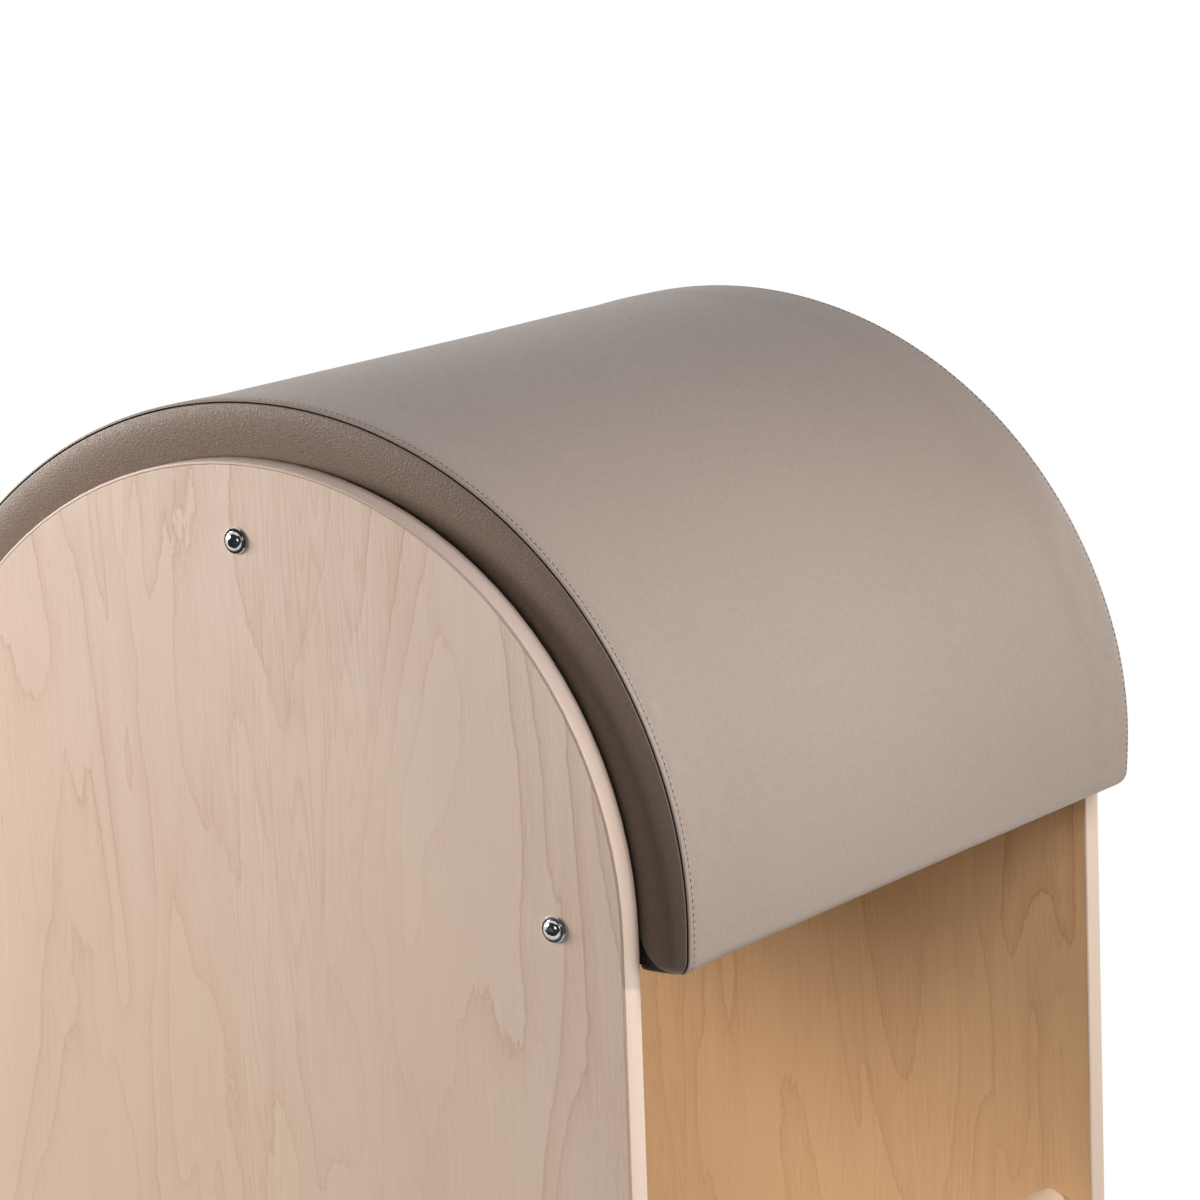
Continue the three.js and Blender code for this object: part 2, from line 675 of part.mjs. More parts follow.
// A lobed hand knob with its stud, facing +Y, the boss's back at y = 0
function handKnob() {
  const points = [];
  const steps = KNOB_LOBES * LOBE_STEPS;
  const middle = KNOB_RADIUS - KNOB_ROUND - KNOB_LOBE_DEPTH / 2;
  for (let i = 0; i < steps; i++) {
    const angle = (2 * Math.PI * i) / steps;
    const radius = middle + (KNOB_LOBE_DEPTH / 2) * Math.cos(KNOB_LOBES * angle);
    points.push(new THREE.Vector2(radius * Math.cos(angle), radius * Math.sin(angle)));
  }
  const grip = new THREE.ExtrudeGeometry(new THREE.Shape(points), {
    depth: KNOB_GRIP_HEIGHT - 2 * KNOB_ROUND,
    bevelThickness: KNOB_ROUND,
    bevelSize: KNOB_ROUND,
    bevelSegments: CORNER_STEPS,
  });
  grip.rotateX(-Math.PI / 2).translate(0, KNOB_BOSS_HEIGHT + KNOB_ROUND, 0);
  const face = KNOB_BOSS_HEIGHT + KNOB_GRIP_HEIGHT;
  const boss = [
    [0, 0],
    [KNOB_BOSS_RADIUS, 0],
    [KNOB_BOSS_RADIUS, face],
    [KNOB_BOSS_RADIUS / 2, face + KNOB_CROWN_HEIGHT],
    [0, face + KNOB_CROWN_HEIGHT],
  ].map(([r, y]) => new THREE.Vector2(r, y));
  const hub = new THREE.LatheGeometry(boss, ROUND_STEPS);
  const reach = knobSeat() - railInside;
  const stud = new THREE.CylinderGeometry(BOLT_RADIUS, BOLT_RADIUS, reach + KNOB_BOSS_HEIGHT, BOLT_STEPS);
  stud.translate(0, (KNOB_BOSS_HEIGHT - reach) / 2, 0);
  return join(grip, hub, stud);
}

// Where the knob's boss stands off the panel, outside its washer
function knobSeat() {
  return outsideFace + FIT_GAP + CLAMP_WASHER_THICKNESS + FIT_GAP;
}

// The threaded plate that the knob's stud runs in, held from turning by the rail's groove
function clampNut(sign) {
  const hole = roundHole(knobX, railAxis, BOLT_RADIUS + THREAD_CLEARANCE, BOLT_STEPS);
  const outline = [
    [-1, -1],
    [1, -1],
    [1, 1],
    [-1, 1],
  ].map(([x, z]) => new THREE.Vector2(knobX + (x * NUT_LENGTH) / 2, railAxis + (z * NUT_HEIGHT) / 2));
  return plate(outline, [hole], sign * railInside, sign * (railInside + NUT_THICKNESS));
}

function addPanels() {
  for (const { name, sign } of SIDES) {
    addPiece(`${name}_side_panel`, sidePanel(sign), MAPLE_FACE);
    addPiece(`${name}_edge_band`, edgeBand(sign), MAPLE_BAND);
    for (const place of boltPlaces()) {
      const ring = washer(WASHER_RADIUS, WASHER_THICKNESS, BOLT_RADIUS + BOLT_CLEARANCE, BOLT_STEPS);
      const grip = WASHER_THICKNESS + PANEL_THICKNESS + FORMER_THICKNESS;
      const bolt = buttonBolt(grip - BOLT_END_GAP, 0, 0);
      const seat = outsideFace + WASHER_THICKNESS;
      addPiece(`${name}_washer_${place.name}`, facing(ring, sign, place.x, outsideFace, place.z), CHROME);
      addPiece(`${name}_bolt_${place.name}`, facing(bolt, sign, place.x, seat, place.z), CHROME);
    }
    for (const end of ENDS) {
      const x = end.sign * (PANEL_RADIUS - FOOT_INSET - FOOT_LENGTH / 2);
      const y = sign * (insideFace + PANEL_THICKNESS / 2);
      addPiece(`${name}_foot_${end.name}`, rubberFoot(FOOT_LENGTH, PANEL_THICKNESS, x, y), RUBBER);
    }
    addPiece(`${name}_cleat_lower`, cleat(sign, lowerCleatTop), MAPLE_SOLID);
    addPiece(`${name}_cleat_upper`, cleat(sign, upperCleatTop), MAPLE_SOLID);
  }
  for (const end of ENDS) addPiece(`stretcher_${end.name}`, stretcher(end.sign), MAPLE_SOLID);
}

function addBarrel() {
  for (const { name, sign } of SIDES) addPiece(`${name}_former`, former(sign), PLYWOOD);
  addPiece("middle_rib", middleRib(), PLYWOOD);
  addPiece("barrel_shell", barrelShell(), PLYWOOD);
  for (const end of ENDS) addPiece(`batten_${end.name}`, batten(end.sign), PLYWOOD);
  addPiece("barrel_foam", barrelFoam(), FOAM);
  addPiece("barrel_cover", barrelCover(), VINYL);
  addPiece("dust_cover", dustCover(), BLACK_CLOTH);
}

function addLadder() {
  for (const { name, sign } of SIDES) {
    addPiece(`${name}_rail`, rail(sign), MAPLE_SOLID);
    addPiece(`${name}_upright`, upright(sign), MAPLE_SOLID);
    lapBoltPlaces().forEach(({ x, z }, i) => {
      const length = RAIL_THICKNESS - LAP_BOLT_END_GAP;
      const bolt = buttonBolt(length, LAP_FLANGE_RADIUS, LAP_FLANGE_THICKNESS);
      addPiece(`${name}_lap_bolt_${i + 1}`, facing(bolt, sign, x, railOutside, z), CHROME);
    });
    const x = railEnd + RAIL_FOOT_LENGTH / 2;
    const y = sign * railMiddle;
    addPiece(`${name}_rail_foot`, rubberFoot(RAIL_FOOT_LENGTH - FOOT_INSET, RAIL_THICKNESS, x, y), RUBBER);
  }
  rungPlaces().forEach((place, i) => addPiece(`rung_${i + 1}`, rung(place), MAPLE_SOLID));
  addPiece("rail_end_board", endBoard(), MAPLE_SOLID);
  addPiece("rail_tie", railTie(), MAPLE_SOLID);
}

function addClamps() {
  const hole = BOLT_RADIUS + BOLT_CLEARANCE;
  for (const { name, sign } of SIDES) {
    const ring = washer(CLAMP_WASHER_RADIUS, CLAMP_WASHER_THICKNESS, hole, ROUND_STEPS);
    addPiece(`${name}_clamp_washer`, facing(ring, sign, knobX, outsideFace + FIT_GAP, railAxis), STEEL);
    addPiece(`${name}_clamp_knob`, facing(handKnob(), sign, knobX, knobSeat(), railAxis), BLACK_PLASTIC);
    addPiece(`${name}_clamp_nut`, clampNut(sign), STEEL);
  }
}

addPanels();
addBarrel();
addLadder();
addClamps();

// The origin is the middle of the footprint, on the floor
const reach = new THREE.Box3().setFromObject(group);
group.position.x = -(reach.min.x + reach.max.x) / 2;

export default group;
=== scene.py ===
import json
import math

import bmesh
import bpy
import numpy as np
from mathutils import Matrix, Vector


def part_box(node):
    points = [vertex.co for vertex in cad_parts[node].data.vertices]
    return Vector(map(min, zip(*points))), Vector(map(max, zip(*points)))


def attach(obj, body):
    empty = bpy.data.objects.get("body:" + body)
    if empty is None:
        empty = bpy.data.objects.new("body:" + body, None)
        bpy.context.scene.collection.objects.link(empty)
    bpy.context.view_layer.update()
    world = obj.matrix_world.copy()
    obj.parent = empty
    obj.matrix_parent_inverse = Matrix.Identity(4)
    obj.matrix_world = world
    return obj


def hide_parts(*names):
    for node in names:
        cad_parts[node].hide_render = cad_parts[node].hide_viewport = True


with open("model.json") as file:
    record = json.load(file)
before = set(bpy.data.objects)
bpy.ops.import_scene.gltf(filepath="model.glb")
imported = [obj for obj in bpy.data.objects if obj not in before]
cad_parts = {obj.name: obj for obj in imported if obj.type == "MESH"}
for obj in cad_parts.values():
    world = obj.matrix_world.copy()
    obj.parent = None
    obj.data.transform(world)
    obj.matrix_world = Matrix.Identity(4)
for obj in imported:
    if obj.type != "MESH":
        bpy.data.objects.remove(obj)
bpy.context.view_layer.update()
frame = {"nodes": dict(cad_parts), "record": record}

MM = 0.001
X_AXIS, Y_AXIS, Z_AXIS = range(3)
NODES = frame["nodes"]

# Places that the frame gives
COVER_LOW, COVER_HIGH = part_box("barrel_cover")
PANEL_LOW, PANEL_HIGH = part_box("right_side_panel")
SHELL_LOW, SHELL_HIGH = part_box("barrel_shell")
BARREL_X = (COVER_LOW.x + COVER_HIGH.x) / 2
ARCH_Z = SHELL_LOW.z
SHELL_RADIUS = SHELL_HIGH.z - SHELL_LOW.z
PAD_BELOW_COVER = 3 * MM
PAD_BOTTOM = COVER_LOW.z - PAD_BELOW_COVER


# Camera

# Fitted to the photo's curves: its size and focal length in pixels, the turns in degrees, and where the near
# panel's arch centre lies from the camera, to the right, down and forwards, in panel radii
PHOTO_SIZE = 1200
PHOTO_FOCAL = 5198.5
PHOTO_YAW, PHOTO_PITCH, PHOTO_ROLL = -33.096, 10.574, 2.0
PANEL_RADIUS = 0.3
ARCH_FROM_CAMERA = Vector((-0.78927, 0.6724, 11.82206)) * PANEL_RADIUS
SENSOR_WIDTH = 36
CLIP_NEAR, CLIP_FAR = 0.05, 60


def make_camera():
    yaw, pitch, roll = (math.radians(a) for a in (PHOTO_YAW, PHOTO_PITCH, PHOTO_ROLL))
    level_share = math.cos(pitch)
    forward = Vector((math.sin(yaw) * level_share, math.cos(yaw) * level_share, -math.sin(pitch)))
    level = Vector((math.cos(yaw), -math.sin(yaw), 0))
    down = forward.cross(level)
    right = math.cos(roll) * level + math.sin(roll) * down
    below = -math.sin(roll) * level + math.cos(roll) * down
    turn = Matrix((right, -below, -forward)).transposed()
    arch_centre = Vector((BARREL_X, PANEL_LOW.y, ARCH_Z))
    aside, under, ahead = ARCH_FROM_CAMERA
    place = arch_centre - (right * aside + below * under + forward * ahead)
    data = bpy.data.cameras.new("camera")
    data.sensor_width = SENSOR_WIDTH
    data.lens = PHOTO_FOCAL / PHOTO_SIZE * SENSOR_WIDTH
    data.clip_start = CLIP_NEAR
    data.clip_end = CLIP_FAR
    camera = bpy.data.objects.new("camera", data)
    camera.matrix_world = Matrix.Translation(place) @ turn.to_4x4()
    bpy.context.collection.objects.link(camera)
    bpy.context.scene.camera = camera


# Node helpers

# Sockets of a Mix node that mixes colours
MIX_FIRST, MIX_SECOND, MIX_RESULT = 6, 7, 2
# The values that a noise mostly takes
NOISE_RANGE = (0.3, 0.7)
WHITE = (1, 1, 1, 1)


class Graph:
    """The node tree of a new material or world, built by short calls."""

    def __init__(self, name, world=False):
        self.owner = (bpy.data.worlds if world else bpy.data.materials).new(name)
        self.owner.use_nodes = True
        self.tree = self.owner.node_tree
        self.tree.nodes.clear()
        self.out = self.tree.nodes.new("ShaderNodeOutputWorld" if world else "ShaderNodeOutputMaterial")

    def add(self, kind, inputs=None, **settings):
        node = self.tree.nodes.new("ShaderNode" + kind)
        for key, value in settings.items():
            setattr(node, key, value)
        for key, value in (inputs or {}).items():
            self.feed(node.inputs[key], value)
        return node

    def feed(self, socket, value):
        if isinstance(value, bpy.types.NodeSocket):
            self.tree.links.new(value, socket)
        else:
            socket.default_value = value

    def finish(self, shader):
        self.feed(self.out.inputs["Surface"], shader)
        return self.owner

    def point(self):
        """The shaded point in the object's own frame, which is the CAD's at rest."""
        return self.add("TexCoord").outputs["Object"]

    def axis(self, vector, number):
        return self.add("SeparateXYZ", {0: vector}).outputs[number]

    def length(self, vector):
        return self.add("VectorMath", {0: vector}, operation="LENGTH").outputs["Value"]

    def math(self, operation, a, b=0.0, clamp=False):
        return self.add("Math", {0: a, 1: b}, operation=operation, use_clamp=clamp).outputs[0]

    def plus(self, a, b, clamp=False):
        return self.math("ADD", a, b, clamp)

    def minus(self, a, b):
        return self.math("SUBTRACT", a, b)

    def times(self, a, b):
        return self.math("MULTIPLY", a, b)

    def span(self, value, low, high, to_low=0.0, to_high=1.0):
        """Takes the values from low to high to those from to_low to to_high, and holds them there."""
        node = self.add("MapRange", {"Value": value, "From Min": low, "From Max": high,
                                     "To Min": to_low, "To Max": to_high}, clamp=True)
        return node.outputs["Result"]

    def mix(self, factor, a, b):
        node = self.add("Mix", data_type="RGBA")
        self.feed(node.inputs["Factor"], factor)
        self.feed(node.inputs[MIX_FIRST], a)
        self.feed(node.inputs[MIX_SECOND], b)
        return node.outputs[MIX_RESULT]

    def stretch(self, vector, scale, offset=(0, 0, 0), turn=(0, 0, 0)):
        node = self.add("Mapping", {"Vector": vector, "Location": offset, "Rotation": turn, "Scale": scale})
        return node.outputs[0]

    def noise(self, vector, scale=1.0, detail=2.0, roughness=0.5, distortion=0.0):
        node = self.add("TexNoise", {"Vector": vector, "Scale": scale, "Detail": detail,
                                     "Roughness": roughness, "Distortion": distortion})
        return node.outputs[0]

    def cells(self, vector, scale, feature):
        return self.add("TexVoronoi", {"Vector": vector, "Scale": scale}, feature=feature).outputs["Distance"]

    def ramp(self, factor, stops):
        node = self.add("ValToRGB", {"Fac": factor})
        elements = node.color_ramp.elements
        while len(elements) < len(stops):
            elements.new(0.5)
        for element, (position, value) in zip(elements, stops):
            element.position = position
            element.color = (value, value, value, 1)
        return node.outputs[0]

    def bump(self, height, strength, distance, normal=None):
        node = self.add("Bump", {"Strength": strength, "Distance": distance, "Height": height})
        if normal is not None:
            self.feed(node.inputs["Normal"], normal)
        return node.outputs[0]

    def surface(self, color, roughness, normal, metallic=0.0, **sockets):
        node = self.add("BsdfPrincipled", {"Base Color": color, "Roughness": roughness,
                                           "Metallic": metallic, "Normal": normal})
        for key, value in sockets.items():
            self.feed(node.inputs[key.replace("_", " ")], value)
        return self.finish(node.outputs[0])


def rgb(red, green, blue):
    """A colour written as it looks, 0 to 255, in linear light."""
    channels = []
    for value in (red, green, blue):
        value /= 255
        channels.append(value / 12.92 if value <= 0.04045 else ((value + 0.055) / 1.055) ** 2.4)
    return (*channels, 1.0)


def lighter(color, factor, lift):
    return tuple(min(1.0, channel * factor + lift) for channel in color[:3]) + (1.0,)


# Wood

MAPLE_PALE = rgb(245, 224, 209)
MAPLE_DARK = rgb(192, 149, 126)
MAPLE_GOLD = rgb(232, 200, 160)
Y_GRAIN = (math.radians(90), 0, 0)
X_GRAIN = (0, math.radians(90), 0)
UPRIGHT_LEAN = math.radians(12)

# Growth lines: a quick wobble added to their slow field, and the steps over which the field's slope is read
WOBBLE_SCALE = (130, 130, 26)
WOBBLE_SHARE = 0.3
STEP_ACROSS = 0.6 * MM
STEP_ALONG = 2.4 * MM
LEAST_SLOPE = 0.012
# How darkness fades: behind a line over this many millimetres, ahead of it within one, and in a fine streak
FADE_LENGTH = 24
FADE_BEHIND = [(0.0, 1.0), (0.03, 0.6), (0.1, 0.38), (0.35, 0.2), (1.0, 0.0)]
FADE_AHEAD = [(0.0, 1.0), (0.45, 0.5), (1.0, 0.0)]
STREAK_RINGS = 44.0
STREAK_FADE = [(0.0, 0.0), (0.45, 0.1), (0.8, 1.0), (1.0, 0.0)]
# Noise fields of the wood: scale and offset (the last number of each along the grain), detail, roughness and
# distortion
WOOD_FIELDS = {
    "line_weight": ((9, 9, 2.3), (3.1, 1.7, 0.4), 2.0, 0.5, 0.0),
    "streak": ((26, 26, 1.0), (1.3, 0.2, 2.2), 2.0, 0.5, 0.2),
    "streak_weight": ((8, 8, 1.6), (5.5, 2.5, 1.1), 1.0, 0.5, 0.0),
    "fibre": ((850, 850, 16), (0, 0, 0), 2.0, 0.6, 0.0),
    "fleck": ((420, 420, 55), (0.7, 0.1, 0.3), 1.0, 0.5, 0.0),
    "tint": ((5.5, 5.5, 1.7), (8.0, 4.0, 2.0), 3.0, 0.55, 0.0),
    "gold": ((4.2, 4.2, 1.9), (1.0, 7.0, 5.0), 2.0, 0.5, 0.0),
}
# What a field's values are taken to: from low and high, to low and high
WOOD_SHARES = {
    "line_weight": (0.38, 0.64, 0.25, 1.0),
    "streak_weight": (0.4, 0.6, 0.0, 1.0),
    "fibre": (0.35, 0.75, -0.05, 0.09),
    "fleck": (0.7, 0.78, 0.0, 0.16),
    "tint": (0.36, 0.66, 0.0, 0.2),
    "gold": (0.4, 0.64, 0.0, 0.2),
}
# Heights between which the panels' veneer turns more golden, lower down, how far they rise per metre towards
# the ladder, and what that veneer keeps of the golden patches' share
WARM_HEIGHTS = (0.3, 0.85)
WARM_LEAN = 0.7
WARM_PATCHES_KEPT = 0.6
# The height over which the band's tones turn darker and pinker, how far that line drops per metre towards the
# inside of the panel, and how soft it is
BAND_LINE_HEIGHT = 0.581
BAND_LINE_SLANT = 0.27
BAND_LINE_BLUR = 1.5 * MM
INNER_FACE_DEPTH = 0.3 * MM
PLY_THICKNESS = 1.5 * MM
PLY_SHARE = 0.25


def wood_field(g, grain, name):
    scale, offset, detail, roughness, distortion = WOOD_FIELDS[name]
    return g.noise(g.stretch(grain, scale, offset), 1.0, detail, roughness, distortion)


def wood_share(g, grain, name):
    return g.span(wood_field(g, grain, name), *WOOD_SHARES[name])


def growth_lines(g, grain, figure, rings):
    """A slow field cut into growth rings.

    The field's slope turns a ring's share into a distance on the wood in millimetres, so each ring is a thin
    line that fades out on one side."""

    def growth(across, along):
        slow = g.stretch(grain, figure, (across * figure[0], 0, along * figure[2]))
        quick = g.stretch(grain, WOBBLE_SCALE, (across * WOBBLE_SCALE[0], 0, along * WOBBLE_SCALE[2]))
        field = g.noise(slow, detail=3.0, roughness=0.45, distortion=0.5)
        wobble = g.noise(quick, detail=3.0, roughness=0.7)
        return g.plus(g.times(field, rings), g.times(wobble, WOBBLE_SHARE))

    height = growth(0, 0)
    slope_across = g.times(g.minus(growth(STEP_ACROSS, 0), height), MM / STEP_ACROSS)
    slope_along = g.times(g.minus(growth(0, STEP_ALONG), height), MM / STEP_ALONG)
    squares = g.plus(g.times(slope_across, slope_across), g.times(slope_along, slope_along))
    slope = g.math("MAXIMUM", g.math("SQRT", squares), LEAST_SLOPE)
    ring = g.math("FRACT", height)
    behind = g.math("DIVIDE", ring, slope)
    ahead = g.math("DIVIDE", g.minus(1.0, ring), slope)
    return g.math("MAXIMUM", g.ramp(g.times(behind, 1 / FADE_LENGTH), FADE_BEHIND), g.ramp(ahead, FADE_AHEAD))


def fine_streaks(g, grain):
    ring = g.math("FRACT", g.times(wood_field(g, grain, "streak"), STREAK_RINGS))
    return g.ramp(ring, STREAK_FADE)


def on_inner_face(g, point):
    """1 on the faces that the two side panels turn to each other, 0 elsewhere."""
    across = g.math("ABSOLUTE", g.axis(point, Y_AXIS))
    return g.math("LESS_THAN", across, -PANEL_HIGH.y + INNER_FACE_DEPTH)


def above_band_line(g, point):
    """1 over a soft slanting line across the band, 0 below it."""
    panel_middle = -(PANEL_LOW.y + PANEL_HIGH.y) / 2
    inwards = g.minus(panel_middle, g.math("ABSOLUTE", g.axis(point, Y_AXIS)))
    height = g.plus(g.axis(point, Z_AXIS), g.times(inwards, BAND_LINE_SLANT))
    return g.span(height, BAND_LINE_HEIGHT - BAND_LINE_BLUR, BAND_LINE_HEIGHT + BAND_LINE_BLUR)


def warm_share(g, point, most):
    """The golden share that the veneer gains lower down."""
    aside = g.times(g.minus(g.axis(point, X_AXIS), BARREL_X), WARM_LEAN)
    return g.span(g.plus(g.axis(point, Z_AXIS), aside), *WARM_HEIGHTS, most, 0.0)


def wood(name, pale, dark, figure, rings, strength, fine, seed, turn=(0, 0, 0), roughness=0.42,
         golden=MAPLE_GOLD, inner=None, upper=None, warm_low=0.0, ply=False):
    """Maple whose grain runs along Z before the turn.

    strength and fine are the shares of the growth lines and of the fine streaks. inner gives the panels'
    inner faces darker, warmer pale, dark and golden tones, which are painted shade and warm bounce light.
    upper gives darker, pinker pale and dark tones over a soft slanting line on the band.
    warm_low is the golden share that the veneer gains lower down."""
    g = Graph(name)
    point = g.point()
    grain = g.stretch(point, (1, 1, 1), seed, turn)
    lines = g.times(growth_lines(g, grain, figure, rings), wood_share(g, grain, "line_weight"))
    streaks = g.times(fine_streaks(g, grain), wood_share(g, grain, "streak_weight"))
    fibre = wood_field(g, grain, "fibre")
    specks = g.plus(g.span(fibre, *WOOD_SHARES["fibre"]), wood_share(g, grain, "fleck"))
    figured = g.plus(g.times(lines, strength), g.times(streaks, fine))
    darkness = g.plus(figured, specks, clamp=True)

    # Darker, warmer tones on the inner faces: painted shade and warm bounce light
    if inner:
        inside = on_inner_face(g, point)
        pale, dark, golden = (g.mix(inside, a, b) for a, b in zip((pale, dark, golden), inner))
    if upper:
        above = above_band_line(g, point)
        pale, dark = (g.mix(above, a, b) for a, b in zip((pale, dark), upper))
    color = g.mix(darkness, pale, dark)
    color = g.mix(wood_share(g, grain, "tint"), color, dark)
    gold_share = wood_share(g, grain, "gold")
    if warm_low:
        gold_share = g.plus(g.times(gold_share, WARM_PATCHES_KEPT), warm_share(g, point, warm_low))
    color = g.mix(gold_share, color, golden)
    if ply:
        layers = g.math("PINGPONG", g.times(g.axis(point, Y_AXIS), 1 / PLY_THICKNESS), 1.0)
        color = g.mix(g.times(layers, PLY_SHARE), color, dark)

    gloss = g.span(g.plus(fibre, darkness), 0.3, 1.4, roughness - 0.04, roughness + 0.08)
    normal = g.bump(g.minus(fibre, g.times(darkness, 0.5)), strength=0.12, distance=0.12 * MM)
    return g.surface(color, gloss, normal, Specular_IOR_Level=0.45, Coat_Weight=0.12, Coat_Roughness=0.28)


# Other materials

PEBBLE_CELLS = 780.0
CREASE_CELLS = 420.0
SCRATCH_SCALE = (1800, 1800, 300)
STUD_RADIUS = 4.3 * MM
STUD_START = 0.2 * MM
STUD_THREAD_PITCH = 1.25 * MM
STUD_THREAD_DEPTH = 2.5


def vinyl(name, color, shade, depth, speckle, cells=PEBBLE_CELLS):
    """Upholstery vinyl: a fine pebble grain with faint creases and a soft sheen."""
    g = Graph(name)
    point = g.point()
    pebbles = g.cells(point, cells, "SMOOTH_F1")
    crease = g.span(g.cells(point, CREASE_CELLS, "DISTANCE_TO_EDGE"), 0.0, 0.12, 1.0, 0.0)
    fine = g.noise(point, scale=1500.0, roughness=0.6)
    cloudy = g.noise(point, scale=7.0, detail=3.0)
    mottled = g.noise(point, scale=260.0, detail=3.0, roughness=0.65)
    specks = g.span(g.noise(point, scale=900.0, roughness=0.7), 0.35, 0.65, -speckle, speckle)

    tone = g.plus(g.span(cloudy, *NOISE_RANGE, -0.08, 0.08), g.span(mottled, *NOISE_RANGE, 0.0, 0.34))
    base = g.mix(g.plus(tone, specks, clamp=True), color, shade)
    # The creases are darkened towards the shade tone: painted shade in the grain's hollows
    base = g.mix(g.times(crease, 0.12), base, shade)
    raised = g.plus(g.times(pebbles, 0.7), g.times(fine, 0.35))
    height = g.minus(raised, g.times(crease, 0.35))
    swell = g.bump(g.noise(point, scale=16.0), strength=0.12, distance=1.2 * MM)
    grain = g.bump(height, strength=depth, distance=0.16 * MM, normal=swell)
    gloss = g.span(mottled, *NOISE_RANGE, 0.38, 0.48)
    return g.surface(base, gloss, grain, Specular_IOR_Level=0.42, Sheen_Weight=0.04, Sheen_Roughness=0.5)


def metal(name, color, roughness, scratches):
    """Metal with smears in its gloss and fine scratches."""
    g = Graph(name)
    point = g.point()
    smear = g.noise(point, scale=240.0, detail=3.0, roughness=0.6)
    fine = g.noise(g.stretch(point, SCRATCH_SCALE))
    gloss = g.span(smear, *NOISE_RANGE, roughness * 0.75, roughness * 1.35)
    normal = g.bump(fine, strength=scratches, distance=0.03 * MM)
    return g.surface(color, gloss, normal, metallic=1.0)


def plastic(name, color, roughness, grain_scale, grain_depth):
    """Plastic or rubber with small pits and a patchy, slightly worn tone."""
    g = Graph(name)
    point = g.point()
    pits = g.noise(point, scale=grain_scale, detail=3.0, roughness=0.6)
    wear = g.noise(point, scale=35.0, detail=3.0)
    base = g.mix(g.span(wear, 0.45, 0.75, 0.0, 0.35), color, lighter(color, 1.6, 0.004))
    gloss = g.span(wear, *NOISE_RANGE, roughness - 0.05, roughness + 0.07)
    normal = g.bump(pits, strength=0.4, distance=grain_depth)
    return g.surface(base, gloss, normal, Specular_IOR_Level=0.4)


def knob_plastic(name):
    """Black plastic, with the knob's steel stud picked out by its distance from the knob's axis."""
    g = Graph(name)
    point = g.point()
    low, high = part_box("left_clamp_knob")
    centre = ((low.x + high.x) / 2, 0.0, (low.z + high.z) / 2)
    from_centre = g.add("VectorMath", {0: point, 1: centre}, operation="SUBTRACT").outputs[0]
    off_axis = g.length(g.add("VectorMath", {0: from_centre, 1: (1, 0, 1)}, operation="MULTIPLY").outputs[0])
    across = g.math("ABSOLUTE", g.axis(point, Y_AXIS))
    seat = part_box("left_clamp_washer")[1].y
    within_radius = g.math("LESS_THAN", off_axis, STUD_RADIUS)
    stud = g.times(within_radius, g.math("LESS_THAN", across, seat + STUD_START))
    pits = g.noise(point, scale=1300.0, detail=3.0, roughness=0.6)
    threads = g.math("SINE", g.times(across, 2 * math.pi / STUD_THREAD_PITCH))
    height = g.plus(g.times(stud, g.times(threads, STUD_THREAD_DEPTH)), pits)
    base = g.mix(stud, rgb(34, 34, 35), rgb(172, 173, 176))
    gloss = g.span(stud, 0, 1, 0.5, 0.32)
    normal = g.bump(height, strength=0.4, distance=0.12 * MM)
    return g.surface(base, gloss, normal, metallic=stud)


def cloth(name, color, threads_per_metre):
    """Thin woven cloth."""
    g = Graph(name)
    point = g.point()
    turns = 2 * math.pi * threads_per_metre
    warp, weft = (g.math("SINE", g.times(g.axis(point, axis), turns)) for axis in (X_AXIS, Y_AXIS))
    weave = g.times(warp, weft)
    fuzz = g.noise(point, scale=900.0, detail=3.0, roughness=0.6)
    base = g.mix(g.span(g.plus(weave, fuzz), 0.2, 1.8, 0.0, 0.6), color, lighter(color, 1.8, 0.003))
    normal = g.bump(weave, strength=0.5, distance=0.15 * MM)
    return g.surface(base, 0.92, normal, Sheen_Weight=0.1)


